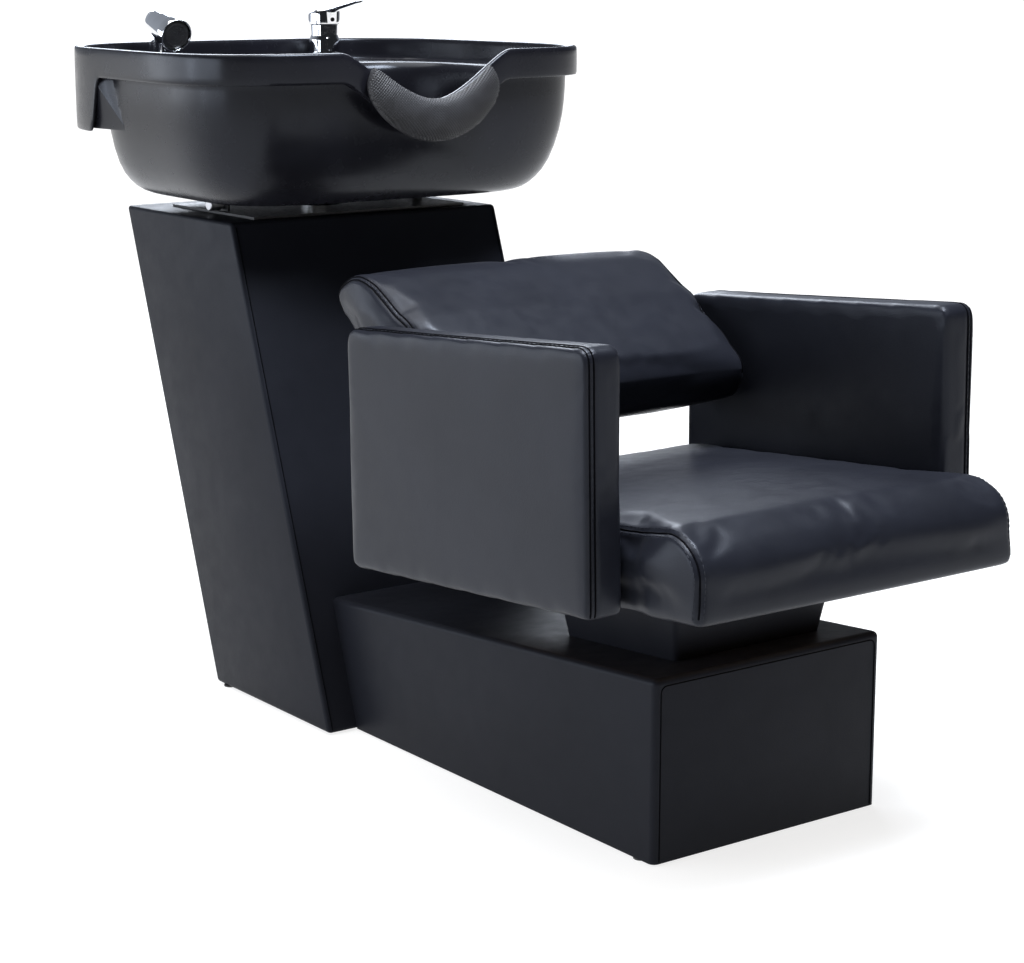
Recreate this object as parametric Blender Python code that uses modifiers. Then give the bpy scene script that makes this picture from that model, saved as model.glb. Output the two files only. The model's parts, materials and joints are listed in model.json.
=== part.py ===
"""Salon shampoo backwash unit: a leaning pedestal with a tilting basin, and a low plinth that carries the seat.

Metres, +Z up. The sitter faces -Y, the basin is at +Y and X runs across. The origin is on the floor,
under the middle of the unit. Panels are plywood boards, upholstery is solid foam, the basin is a moulding.
"""

import math

import bmesh
import bpy
import numpy as np
from mathutils import Matrix, Vector

# Whole unit
LENGTH, WIDTH, RIM_Z = 1.29, 0.59, 0.819
GAP = 0.0003
BOARD = 0.018
FOOT_HEIGHT, FOOT_RADIUS = 0.002, 0.0088
FLOOR_Z = FOOT_HEIGHT + GAP

# Pedestal: a box whose front and back lean towards +Y
PED_HALF, PED_FRONT_Y, PED_DEPTH, PED_TOP, PED_LEAN = 0.2016, 0.062, 0.277, 0.609, 0.348
PED_INNER = PED_HALF - BOARD
PED_SKIN = 0.019
CLEAT = 0.025

# Plinth, seat and arms share one slope, down towards the pedestal
SLOPE = 0.075
PLINTH_HALF, PLINTH_FRONT_Y, PLINTH_FRONT_TOP = 0.161, -0.509, 0.204
PLINTH_INNER = PLINTH_HALF - BOARD
RISER_X, RISER_HALF, RISER_FLARE, RISER_WALL = 0.012, 0.104, 0.014, 0.015
RISER_FRONT_Y, RISER_BACK_Y = -0.460, -0.270

SEAT_HALF, SEAT_FRONT_Y, SEAT_BACK_Y = 0.2215, -LENGTH / 2, -0.125
SEAT_FRONT_BOTTOM, SEAT_THICK, SEAT_ROUND = 0.302, 0.088, 0.048
SEAT_BOARD_HALF, SEAT_BOARD_INSET = 0.212, 0.012
BRACKET_FRONT_Y, BRACKET_BACK_Y, BRACKET_LEG, BRACKET_THICK = -0.48, -0.22, 0.016, 0.003

ARM_OUTER, ARM_THICK, ARM_HEIGHT = 0.2714, 0.048, 0.2715
ARM_INNER = ARM_OUTER - ARM_THICK
ARM_FRONT_Y, ARM_BACK_Y, ARM_FRONT_BOTTOM, ARM_LEAN = -0.535, -0.102, 0.290, 0.006
CORE_THICK, CORE_INSET = 0.018, 0.014

BACK_HALF, BACK_BOARD_HALF, BACK_BOARD = 0.2205, 0.190, 0.015
STUD_RADIUS, STUD_PLACE = 0.004, (-0.145, 0.4515)

# Basin: outlines are rounded rectangles, given as half width, front y, back y, taper to the back and the
# power that squares the corners. RIM_HALF is the half width before the taper, which makes WIDTH the widest.
RIM_HALF = WIDTH / 2 * 1.0376
RIM = (RIM_HALF, 0.128, LENGTH / 2, 0.10, 4.0)
OPENING = (0.255, 0.156, 0.530, 0.05, 4.0)
BODY_TOP = (0.282, 0.146, 0.556, 0.05, 4.4)
RIM_DROP, LEDGE_DROP, APRON_DROP = 0.037, 0.030, 0.106
WALL = 0.005
BASIN_BOTTOM = 0.632
BASIN_FLOOR = 0.642
NOTCH_HALF, NOTCH_DEPTH, NOTCH_POWER = 0.122, 0.060, 0.66
APRON_Y, APRON_BLEND = 0.455, 0.030
GUSSET_LOW, GUSSET_HIGH = 0.717, 0.785
PAD_REACH = 0.086
SIDES = 72
DRAIN_Y = 0.400

# Tilt bracket
HINGE_Y, HINGE_Z, PIN_RADIUS = 0.385, 0.6205, 0.003
PLATE, PLATE_HALF, EAR_X = 0.003, 0.160, 0.150
PLATE_HOLE, BOLT_HEAD = 0.036, 0.003
BASIN_BOLT = (0.120, 0.310)
KNOB_RADIUS, KNOB_LENGTH = 0.0075, 0.020

# Fittings on the back deck
DECK_Z = RIM_Z - LEDGE_DROP
UNDER_DECK_Z = DECK_Z - 0.0035
MIXER_X, SPRAY_X, TAP_Y = 0.132, -0.130, 0.585
CAP_RADIUS, CAP_BORE, NECK_RADIUS = 0.022, 0.0205, 0.0189
LEVER_LENGTH, LEVER_RISE = 0.100, math.radians(10.5)
SPRAY_DROOP = math.radians(18)
SPRAY_RADIUS, SPRAY_LENGTH, SPRAY_AXIS_Z = 0.022, 0.0675, 0.847

LEATHER = ("black_leather", (0.018, 0.019, 0.023), 0.45, 0.0)
PLYWOOD = ("plywood", (0.42, 0.27, 0.14), 0.75, 0.0)
GLOSS = ("black_gloss_plastic", (0.010, 0.010, 0.012), 0.12, 0.0)
CHROME = ("polished_chrome", (0.80, 0.80, 0.82), 0.07, 1.0)
STEEL = ("zinc_steel", (0.55, 0.55, 0.56), 0.35, 1.0)
DARK_STEEL = ("black_steel", (0.030, 0.030, 0.032), 0.40, 0.6)
RUBBER = ("black_rubber", (0.020, 0.020, 0.021), 0.70, 0.0)
DARK_PLASTIC = ("dark_plastic", (0.022, 0.022, 0.024), 0.50, 0.0)

parts = None
cutters = None


# ---- tools ----------------------------------------------------------------------------------------


def clear_scene():
    for obj in list(bpy.data.objects):
        bpy.data.objects.remove(obj)


def collection(name):
    made = bpy.data.collections.new(name)
    bpy.context.scene.collection.children.link(made)
    return made


def material(finish):
    name, colour, roughness, metallic = finish
    found = bpy.data.materials.get(name)
    if found:
        return found
    made = bpy.data.materials.new(name)
    made.use_nodes = True
    shader = made.node_tree.nodes["Principled BSDF"]
    shader.inputs["Base Color"].default_value = (*colour, 1.0)
    shader.inputs["Roughness"].default_value = roughness
    shader.inputs["Metallic"].default_value = metallic
    return made


def add_object(name, mesh, finish, place=None):
    obj = bpy.data.objects.new(name, mesh)
    parts.objects.link(obj)
    mesh.materials.clear()
    mesh.materials.append(material(finish))
    if place is not None:
        obj.matrix_world = place
    return obj


def mesh_of(name, bm):
    bmesh.ops.recalc_face_normals(bm, faces=bm.faces)
    mesh = bpy.data.meshes.new(name)
    bm.to_mesh(mesh)
    bm.free()
    return mesh


def at(x=0.0, y=0.0, z=0.0):
    return Matrix.Translation((x, y, z))


def along(axis):
    """Turns +Z onto this direction."""
    return Vector((0, 0, 1)).rotation_difference(Vector(axis)).to_matrix().to_4x4()


def box(name, low, high, finish):
    size = [b - a for a, b in zip(low, high)]
    middle = [(a + b) / 2 for a, b in zip(low, high)]
    bm = bmesh.new()
    bmesh.ops.create_cube(bm, size=1.0)
    bmesh.ops.scale(bm, vec=size, verts=bm.verts)
    return add_object(name, mesh_of(name, bm), finish, at(*middle))


def side_plate(name, outline, x_low, x_high, finish):
    """A board whose outline lies in the Y-Z plane, between two X planes: a filled 2D curve, extruded."""
    curve = bpy.data.curves.new(name, "CURVE")
    curve.dimensions = "2D"
    curve.fill_mode = "BOTH"
    curve.extrude = (x_high - x_low) / 2
    spline = curve.splines.new("POLY")
    spline.points.add(len(outline) - 1)
    for point, (y, z) in zip(spline.points, outline):
        point.co = (y, z, 0.0, 1.0)
    spline.use_cyclic_u = True
    guide = bpy.data.objects.new(name + "_outline", curve)
    parts.objects.link(guide)
    # The curve's X, Y and Z become the world's Y, Z and X.
    turn = Matrix(((0, 0, 1, 0), (1, 0, 0, 0), (0, 1, 0, 0), (0, 0, 0, 1)))
    guide.matrix_world = at((x_low + x_high) / 2) @ turn
    bpy.context.view_layer.update()
    graph = bpy.context.evaluated_depsgraph_get()
    mesh = bpy.data.meshes.new_from_object(guide.evaluated_get(graph))
    place = guide.matrix_world.copy()
    bpy.data.objects.remove(guide)
    bm = bmesh.new()
    bm.from_mesh(mesh)
    bmesh.ops.remove_doubles(bm, verts=bm.verts, dist=1e-6)
    bmesh.ops.recalc_face_normals(bm, faces=bm.faces)
    bm.to_mesh(mesh)
    bm.free()
    return add_object(name, mesh, finish, place)


def rod(name, start, axis, length, radius, finish, sides=16):
    """A cylinder that starts at a point and runs along an axis."""
    bm = bmesh.new()
    bmesh.ops.create_cone(bm, cap_ends=True, segments=sides, radius1=radius, radius2=radius, depth=length)
    bmesh.ops.translate(bm, vec=(0, 0, length / 2), verts=bm.verts)
    return add_object(name, mesh_of(name, bm), finish, at(*start) @ along(axis))


def turned(name, profile, place, finish, steps=28):
    """A turned piece: the (radius, height) profile runs down its outer side, and the Screw turns it."""
    mesh = bpy.data.meshes.new(name)
    points = [(r, 0.0, z) for r, z in profile]
    mesh.from_pydata(points, [(i, i + 1) for i in range(len(points) - 1)], [])
    obj = add_object(name, mesh, finish, place)
    screw = obj.modifiers.new("turn", "SCREW")
    screw.steps = steps
    screw.render_steps = steps
    screw.use_merge_vertices = True
    screw.merge_threshold = 0.00005
    screw.use_smooth_shade = True
    return obj


def cutter(obj):
    parts.objects.unlink(obj)
    cutters.objects.link(obj)
    obj.hide_render = True
    obj.display_type = "WIRE"
    return obj


def boolean(target, tool, operation="DIFFERENCE"):
    change = target.modifiers.new(tool.name, "BOOLEAN")
    change.operation = operation
    change.object = tool
    change.solver = "EXACT"
    return change


def bevel(obj, width, segments=2):
    change = obj.modifiers.new("rounded_edges", "BEVEL")
    change.width = width
    change.segments = segments
    change.limit_method = "ANGLE"
    change.angle_limit = math.radians(40)
    return change


def drill(targets, start, axis, length, radius, name):
    tool = cutter(rod(name, start, axis, length, radius, STEEL))
    for target in targets:
        boolean(target, tool)


def joined(first, others):
    """Adds the others to the first piece as Boolean unions, and keeps them as hidden helpers."""
    for other in others:
        boolean(first, cutter(other), "UNION")
    return first


def nut(name, low, across, bore, height, sides, finish):
    piece = rod(name, low, (0, 0, 1), height, across, finish, sides=sides)
    drill([piece], Vector(low) - Vector((0, 0, 0.01)), (0, 0, 1), height + 0.02, bore, name + "_bore")
    return piece


def bolt(name, head_at, axis, length, radius, head_radius, head_length, finish, holes=(), slack=0.0005):
    """A hex-headed bolt: the head's outer face is at head_at and the shank runs along the axis."""
    head = rod(name, head_at, axis, head_length, head_radius, finish, sides=6)
    shank = rod(name + "_shank", Vector(head_at) + Vector(axis) * (head_length - 0.001),
                axis, length + 0.001, radius, finish)
    joined(head, [shank])
    seat = Vector(head_at) + Vector(axis) * (head_length - 0.0005)
    if holes:
        drill(holes, seat, axis, length + 0.0015, radius + slack, name + "_hole")
    return head


# ---- base -----------------------------------------------------------------------------------------


def ped_front(z):
    return PED_FRONT_Y + PED_LEAN * z


def plinth_top(y):
    return PLINTH_FRONT_TOP - SLOPE * (y - PLINTH_FRONT_Y)


def leaning(y_shift, depth, low, high):
    """A parallelogram that leans with the pedestal, y_shift behind its front face."""
    front_low, front_high = ped_front(low) + y_shift, ped_front(high) + y_shift
    return [(front_low, low), (front_low + depth, low), (front_high + depth, high), (front_high, high)]


def make_pedestal():
    whole = leaning(0.0, PED_DEPTH, FLOOR_Z, PED_TOP)
    for side, name in ((-1, "right"), (1, "left")):
        ends = sorted((side * PED_INNER, side * PED_HALF))
        side_plate(f"pedestal_{name}_side", whole, *ends, PLYWOOD)
        inner = sorted((side * (PED_INNER - GAP), side * (PED_INNER - GAP - CLEAT)))
        under = PED_TOP - BOARD - GAP
        cleat = leaning(PED_SKIN + 2 * GAP, PED_DEPTH - 2 * PED_SKIN - 4 * GAP, under - CLEAT, under)
        side_plate(f"pedestal_{name}_cleat", cleat, *inner, PLYWOOD)
    inner = PED_INNER - GAP
    front = side_plate("pedestal_front_panel", leaning(0.0, PED_SKIN, FLOOR_Z, PED_TOP), -inner, inner, PLYWOOD)
    rear_low = FLOOR_Z + 0.002
    rear = side_plate("rear_access_panel",
                      leaning(PED_DEPTH - PED_SKIN, PED_SKIN, rear_low, PED_TOP), -inner, inner, PLYWOOD)
    mouth = box("pipe_mouth", (-0.07, 0.20, -0.02), (0.07, 0.45, 0.085), PLYWOOD)
    boolean(rear, cutter(mouth))
    top = side_plate("pedestal_top_board",
                     leaning(PED_SKIN + GAP, PED_DEPTH - 2 * PED_SKIN - 2 * GAP, PED_TOP - BOARD, PED_TOP),
                     -inner, inner, PLYWOOD)
    drill([top], (0, DRAIN_Y, PED_TOP - 0.03), (0, 0, 1), 0.06, 0.040, "drain_clearance")
    rail_top = 0.045
    rail = side_plate("pedestal_floor_rail",
                      leaning(PED_SKIN + 2 * GAP, CLEAT, FLOOR_Z, rail_top), -inner, inner, PLYWOOD)
    for side, name in ((-1, "right"), (1, "left")):
        # Round-headed screws hold the rear panel to the ends of the two cleats.
        height = PED_TOP - BOARD - CLEAT / 2
        start = Vector((side * (PED_INNER - CLEAT / 2), ped_front(height) + PED_DEPTH + 0.0035, height))
        cleat = bpy.data.objects[f"pedestal_{name}_cleat"]
        screw = turned(f"access_screw_{name}", [(0.0, 0.0), (0.0045, 0.0008), (0.0055, 0.003), (0.002, 0.003),
                                                (0.002, 0.040), (0.0, 0.042)][::-1],
                       at(*start) @ along((0, -1, 0)), STEEL, 12)
        drill([rear, cleat], start + Vector((0, -0.0005, 0)), (0, -1, 0), 0.045, 0.0026,
              f"access_screw_hole_{name}")
        drill([rear], start + Vector((0, 0.02, 0)), (0, -1, 0), 0.02 + 0.0105, 0.0065, f"access_sink_{name}")
    return front, rail


def make_plinth():
    back = ped_front(FLOOR_Z) - GAP
    # Where the sloping top line meets the leaning face of the pedestal.
    meet_z = (PLINTH_FRONT_TOP - SLOPE * (PED_FRONT_Y - GAP - PLINTH_FRONT_Y)) / (1 + SLOPE * PED_LEAN)
    meet_y = ped_front(meet_z) - GAP
    side = [(PLINTH_FRONT_Y, FLOOR_Z), (back, FLOOR_Z), (meet_y, meet_z), (PLINTH_FRONT_Y, PLINTH_FRONT_TOP)]
    for sign, name in ((-1, "right"), (1, "left")):
        ends = sorted((sign * PLINTH_INNER, sign * PLINTH_HALF))
        side_plate(f"plinth_{name}_side", side, *ends, PLYWOOD)
    inner = PLINTH_INNER - GAP
    front_in = PLINTH_FRONT_Y + BOARD
    front = [(PLINTH_FRONT_Y, FLOOR_Z), (front_in, FLOOR_Z), (front_in, plinth_top(front_in)),
             (PLINTH_FRONT_Y, PLINTH_FRONT_TOP)]
    side_plate("plinth_front_panel", front, -inner, inner, PLYWOOD)
    high = meet_z
    back_board = [(back - BOARD, FLOOR_Z), (back, FLOOR_Z), (meet_y, high),
                  (meet_y - BOARD, high + SLOPE * BOARD)]
    rear = side_plate("plinth_back_board", back_board, -inner, inner, PLYWOOD)
    start, end = front_in + GAP, meet_y - BOARD - 2 * GAP
    lean_back = PED_LEAN * BOARD
    top = [(start, plinth_top(start) - BOARD), (end - lean_back, plinth_top(end - lean_back) - BOARD),
           (end, plinth_top(end)), (start, plinth_top(start))]
    side_plate("plinth_top_board", top, -inner, inner, PLYWOOD)
    return rear


def make_joining_bolts(plinth_back, pedestal_front, rail):
    for sign, name in ((-1, "right"), (1, "left")):
        height = 0.075
        head_y = ped_front(height) - GAP - BOARD - 0.0075
        bolt(f"joining_bolt_{name}", (sign * 0.085, head_y, height), (0, 1, 0), 0.038, 0.004, 0.0068,
             0.0055, STEEL, [plinth_back, pedestal_front])
        drill([plinth_back], (sign * 0.085, head_y - 0.02, height), (0, 1, 0), 0.0215 + 0.0055, 0.009,
              f"joining_bolt_seat_{name}")


def make_feet():
    back_y = ped_front(0) + PED_DEPTH - 0.02
    places = {"rear_right": (-PED_HALF + BOARD / 2, back_y), "rear_left": (PED_HALF - BOARD / 2, back_y),
              "front_right": (-PLINTH_HALF + BOARD / 2, PLINTH_FRONT_Y + 0.03),
              "front_left": (PLINTH_HALF - BOARD / 2, PLINTH_FRONT_Y + 0.03)}
    for name, (x, y) in places.items():
        rod(f"glide_foot_{name}", (x, y, 0), (0, 0, 1), FOOT_HEIGHT, FOOT_RADIUS, DARK_PLASTIC)


def hull(name, points, finish):
    """The convex solid with these corners."""
    bm = bmesh.new()
    bmesh.ops.convex_hull(bm, input=[bm.verts.new(p) for p in points])
    return add_object(name, mesh_of(name, bm), finish)


def riser_block(name, inset, reach):
    """The block between plinth and seat, wider at its top, whose ends follow the slope of the seat."""
    corners = []
    for grow, level in ((0.0, plinth_top), (RISER_FLARE, seat_bottom)):
        shift = GAP - reach if level is plinth_top else reach - GAP
        half, front, back = RISER_HALF + grow - inset, RISER_FRONT_Y - grow + inset, RISER_BACK_Y + grow - inset
        for x, y in ((-half, front), (half, front), (half, back), (-half, back)):
            corners.append((RISER_X + x, y, level(y) + shift))
    return hull(name, corners, LEATHER)


def seat_bottom(y):
    return SEAT_FRONT_BOTTOM - SLOPE * (y - SEAT_FRONT_Y)


def make_riser():
    riser = riser_block("seat_riser", 0.0, 0.0)
    boolean(riser, cutter(riser_block("riser_hollow", RISER_WALL, 0.01)))


# ---- seat -----------------------------------------------------------------------------------------


def arc(centre, radius, start, end, count):
    """Points of an arc in the Y-Z plane, angles in degrees from +Y towards +Z."""
    turns = [math.radians(start + (end - start) * i / count) for i in range(count + 1)]
    return [(centre[0] + radius * math.cos(a), centre[1] + radius * math.sin(a)) for a in turns]


def make_seat():
    """A foam block with a rounded front. The board is let into it from below, clear of the arm brackets."""
    centre = (SEAT_FRONT_Y + SEAT_ROUND, SEAT_FRONT_BOTTOM + SEAT_THICK - SEAT_ROUND - 0.002)
    back_low = seat_bottom(SEAT_BACK_Y)
    back_top = back_low + SEAT_THICK
    outline = [(SEAT_FRONT_Y, SEAT_FRONT_BOTTOM), (SEAT_BACK_Y, back_low), (SEAT_BACK_Y, back_top - 0.012),
               (SEAT_BACK_Y - 0.012, back_top)]
    outline += arc(centre, SEAT_ROUND, 88, 180, 8)
    cushion = side_plate("seat_cushion", outline, -SEAT_HALF, SEAT_HALF, LEATHER)
    bevel(cushion, 0.006)
    start, end = SEAT_FRONT_Y + SEAT_BOARD_INSET, SEAT_BACK_Y - SEAT_BOARD_INSET
    side_plate("seat_base_board", sloped(start, end, 0.0, BOARD), -SEAT_BOARD_HALF, SEAT_BOARD_HALF, PLYWOOD)
    room = sloped(start - GAP, end + GAP, -0.02, BOARD + GAP)
    bracket_room = sloped(BRACKET_FRONT_Y - 0.01, BRACKET_BACK_Y + 0.01, -0.02, BOARD + GAP)
    for name, piece, half in (("seat_board_room", room, SEAT_BOARD_HALF + GAP),
                              ("arm_bracket_room", bracket_room, SEAT_HALF + 0.01)):
        boolean(cushion, cutter(side_plate(name, piece, -half, half, PLYWOOD)))


def sloped(front, back, low, high):
    """A strip that follows the underside of the seat, from low to high above it."""
    return [(front, seat_bottom(front) + low), (back, seat_bottom(back) + low),
            (back, seat_bottom(back) + high), (front, seat_bottom(front) + high)]


def arm_bottom(y):
    return ARM_FRONT_BOTTOM - SLOPE * (y - ARM_FRONT_Y)


def arm_outline(inset=0.0, drop=0.0):
    """The arm's side view. Its top and bottom slope with the seat, and its ends are nearly upright."""
    front, back = ARM_FRONT_Y + inset, ARM_BACK_Y - inset
    rise = ARM_HEIGHT - inset
    return [(front, arm_bottom(front) - drop), (back, arm_bottom(back) - drop),
            (back + ARM_LEAN, arm_bottom(back + ARM_LEAN) + rise),
            (front + ARM_LEAN, arm_bottom(front + ARM_LEAN) + rise)]


def make_arms():
    core_low = ARM_INNER + (ARM_THICK - CORE_THICK) / 2
    for sign, name in ((-1, "right"), (1, "left")):
        ends = sorted((sign * ARM_INNER, sign * ARM_OUTER))
        arm = side_plate(f"arm_{name}_upholstery", arm_outline(), *ends, LEATHER)
        slot = sorted((sign * (core_low - GAP), sign * (core_low + CORE_THICK + GAP)))
        pocket = side_plate(f"arm_{name}_pocket", arm_outline(CORE_INSET - 0.001, 0.02), *slot, PLYWOOD)
        bevel(arm, 0.004)
        boolean(arm, cutter(pocket))
        ends = sorted((sign * core_low, sign * (core_low + CORE_THICK)))
        core = side_plate(f"arm_{name}_core", arm_outline(CORE_INSET), *ends, PLYWOOD)
        bracket = make_arm_bracket(sign, name)
        for place, y in (("front", -0.43), ("rear", -0.27)):
            start = (sign * 0.2155, y, seat_bottom(y) + 0.009)
            bolt(f"arm_bolt_{name}_{place}", start, (sign, 0, 0), 0.034, 0.003, 0.0048, 0.0042, STEEL,
                 [bracket, arm, core])
        y, z = STUD_PLACE
        stud_start = (sign * 0.150, y, z)
        rod(f"backrest_stud_{name}", stud_start, (sign, 0, 0), core_low + 0.015 - 0.150, STUD_RADIUS, STEEL)
        drill([arm, core], (sign * 0.20, y, z), (sign, 0, 0), core_low + 0.0155 - 0.20, STUD_RADIUS + 0.0004,
              f"arm_stud_hole_{name}")


def make_arm_bracket(sign, name):
    """A steel angle under the seat board, its upright leg between the board and the arm."""
    ends = (BRACKET_FRONT_Y, BRACKET_BACK_Y)
    outer = ARM_INNER - 0.0005
    plate = side_plate(f"arm_bracket_{name}", sloped(*ends, -GAP - BRACKET_THICK, -GAP),
                       *sorted((sign * 0.165, sign * outer)), DARK_STEEL)
    leg = side_plate(f"arm_bracket_{name}_leg", sloped(*ends, -GAP - BRACKET_THICK, BRACKET_LEG),
                     *sorted((sign * (outer - BRACKET_THICK), sign * outer)), DARK_STEEL)
    return joined(plate, [leg])


def slab(name, length, thick, middle, place):
    """A board as wide as the backrest's inner board, lying in the plane of the given place."""
    room = 0.0 if name == "backrest_board" else 2 * GAP
    bm = bmesh.new()
    bmesh.ops.create_cube(bm, size=1.0)
    bmesh.ops.scale(bm, vec=(2 * BACK_BOARD_HALF + room, length, thick + room), verts=bm.verts)
    bmesh.ops.translate(bm, vec=(0, middle, 0), verts=bm.verts)
    return add_object(name, mesh_of(name, bm), PLYWOOD, place)


def make_backrest():
    """A reclined wedge: thin at the top and thick below, with a board inside that slides in from under."""
    outline = [(-0.135, 0.402), (0.008, 0.530), (0.0185, 0.545), (0.014, 0.558), (-0.010, 0.5715),
               (-0.030, 0.577), (-0.060, 0.570), (-0.130, 0.535), (-0.185, 0.495), (-0.221, 0.463),
               (-0.222, 0.448), (-0.209, 0.420)]
    cushion = side_plate("backrest_cushion", outline, -BACK_HALF, BACK_HALF, LEATHER)
    y, z = STUD_PLACE
    lean = math.atan2(0.120, 0.158)
    place = at(0, y, z) @ Matrix.Rotation(lean, 4, "X")
    top = 0.1475
    board = slab("backrest_board", 0.175, BACK_BOARD, top - 0.175 / 2, place)
    pocket = slab("backrest_pocket", 0.300, BACK_BOARD, top + GAP - 0.300 / 2, place)
    boolean(cushion, cutter(pocket))
    for sign, name in ((-1, "right"), (1, "left")):
        drill([cushion, board], (sign * 0.1495, y, z), (sign, 0, 0), 0.09, STUD_RADIUS + 0.0004,
              f"backrest_stud_hole_{name}")


# ---- basin ----------------------------------------------------------------------------------------


def rounded_outline(shape, inset=0.0, count=SIDES):
    """Points of a rounded rectangle at equal steps, from the middle of the front, towards +X."""
    half, front, back, taper, power = shape
    half, front, back = half - inset, front + inset, back - inset
    turn = np.linspace(-math.pi / 2, 1.5 * math.pi, 4001)
    across = np.sign(np.cos(turn)) * np.abs(np.cos(turn)) ** (2 / power)
    length = np.sign(np.sin(turn)) * np.abs(np.sin(turn)) ** (2 / power)
    x = half * across * (1 - taper * (length + 1) / 2)
    y = (front + back) / 2 + (back - front) / 2 * length
    path = np.concatenate([[0.0], np.cumsum(np.hypot(np.diff(x), np.diff(y)))])
    steps = np.arange(count) / count * path[-1]
    return np.stack([np.interp(steps, path, x), np.interp(steps, path, y)], axis=1)


def rim_front(x):
    """The y of the rim's front edge at this x."""
    front = rounded_outline(RIM)
    front = front[front[:, 1] < 0.30]
    order = np.argsort(front[:, 0])
    return float(np.interp(x, front[order, 0], front[order, 1]))


def rim_side(y):
    """The half width of the rim at this y."""
    side = rounded_outline(RIM)
    side = side[side[:, 0] > 0.20]
    order = np.argsort(side[:, 1])
    return float(np.interp(y, side[order, 1], side[order, 0]))


def smooth_step(value):
    value = min(max(value, 0.0), 1.0)
    return value * value * (3 - 2 * value)


def notch(x, y):
    """How far the rim dips for the neck, in the middle of the front edge."""
    if abs(x) >= NOTCH_HALF or y > 0.30:
        return 0.0
    return NOTCH_DEPTH * (0.5 + 0.5 * math.cos(math.pi * x / NOTCH_HALF)) ** NOTCH_POWER


def apron(y):
    """How far the rim band hangs: short round the front and sides, long behind."""
    return RIM_DROP + (APRON_DROP - RIM_DROP) * smooth_step((y - APRON_Y) / APRON_BLEND)


def basin_rings():
    """Rings from the underside, up the outer wall, round the rim band and down the inside to the floor.

    Each row gives the outline, its inset, its height and the share of the notch's dip that it follows.
    """
    rows = [((0.218, 0.203, 0.512, 0.04, 4.4), 0.0, BASIN_BOTTOM, 0.0),
            ((0.235, 0.189, 0.528, 0.04, 4.4), 0.0, 0.636, 0.0), ((0.249, 0.177, 0.540, 0.04, 4.4), 0.0, 0.648, 0.0),
            ((0.264, 0.164, 0.547, 0.04, 4.4), 0.0, 0.668, 0.0), ((0.277, 0.151, 0.553, 0.05, 4.4), 0.0, 0.712, 0.25),
            (BODY_TOP, 0.0, UNDER_DECK_Z, 1.0)]
    rows += [(RIM, WALL, UNDER_DECK_Z, 1.0), (RIM, WALL, "apron", 1.0), (RIM, 0.0, "apron", 1.0),
             (RIM, 0.0, RIM_Z - 0.003, 1.0), (RIM, 0.003, RIM_Z, 1.0), (RIM, 0.006, RIM_Z, 1.0),
             (RIM, 0.0095, RIM_Z - 0.003, 1.0), (RIM, 0.012, DECK_Z + 0.003, 0.93), (RIM, 0.015, DECK_Z, 0.90),
             (OPENING, -0.010, DECK_Z, 0.90), (OPENING, -0.003, DECK_Z - 0.003, 0.90),
             (OPENING, 0.002, DECK_Z - 0.012, 0.85), (OPENING, 0.006, 0.740, 0.35),
             (OPENING, 0.012, 0.690, 0.05), (OPENING, 0.030, 0.662, 0.0), (OPENING, 0.060, 0.650, 0.0),
             (OPENING, 0.110, BASIN_FLOOR + 0.002, 0.0)]
    rings = []
    for shape, inset, level, follow in rows:
        ring = []
        for x, y in rounded_outline(shape, inset):
            z = RIM_Z - apron(y) if level == "apron" else level
            ring.append((x, y, z - follow * notch(x, y)))
        rings.append(ring)
    return rings


def loft(name, rings, finish):
    bm = bmesh.new()
    rows = [[bm.verts.new(p) for p in ring] for ring in rings]
    for lower, upper in zip(rows, rows[1:]):
        for i in range(len(lower)):
            j = (i + 1) % len(lower)
            bm.faces.new((lower[i], lower[j], upper[j], upper[i]))
    for ends in (rows[0], rows[-1]):
        middle = bm.verts.new(sum((v.co for v in ends), Vector()) / len(ends))
        for i in range(len(ends)):
            bm.faces.new((ends[i], ends[(i + 1) % len(ends)], middle))
    return add_object(name, mesh_of(name, bm), finish)


def make_gusset(sign, name):
    """A wedge that closes the long apron against the body, with a sloping front edge."""
    inset = 0.0004
    front, back = rim_side(0.470) - inset, rim_side(0.510) - inset
    corners = [(front, 0.470, GUSSET_HIGH - 0.003), (back, 0.510, GUSSET_LOW), (back, 0.510, GUSSET_HIGH),
               (0.2665, 0.418, GUSSET_LOW)]
    corners += [(0.258, 0.425, z) for z in (GUSSET_LOW, GUSSET_HIGH)]
    corners += [(0.233, 0.510, z) for z in (GUSSET_LOW, GUSSET_HIGH)]
    return hull(f"apron_gusset_{name}", [(sign * x, y, z) for x, y, z in corners], GLOSS)


def make_basin():
    basin = loft("basin", basin_rings(), GLOSS)
    joined(basin, [make_gusset(-1, "right"), make_gusset(1, "left")])
    drill([basin], (0, DRAIN_Y, 0.60), (0, 0, 1), 0.10, 0.0215, "drain_hole")
    drill([basin], (0, DRAIN_Y, BASIN_FLOOR - 0.002), (0, 0, 1), 0.05, 0.0345, "drain_recess")
    for name, x in (("mixer", MIXER_X), ("spray", SPRAY_X)):
        drill([basin], (x, TAP_Y, DECK_Z - 0.05), (0, 0, 1), 0.08, 0.0165, f"{name}_hole")
    for sign, name in ((-1, "right"), (1, "left")):
        x, y = BASIN_BOLT
        head_low = BASIN_BOTTOM - GAP - PLATE - BOLT_HEAD - 0.0002
        bolt(f"basin_bolt_{name}", (sign * x, y, head_low), (0, 0, 1), 0.0095, 0.003, 0.006, BOLT_HEAD, STEEL,
             [basin])
    return basin


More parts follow.
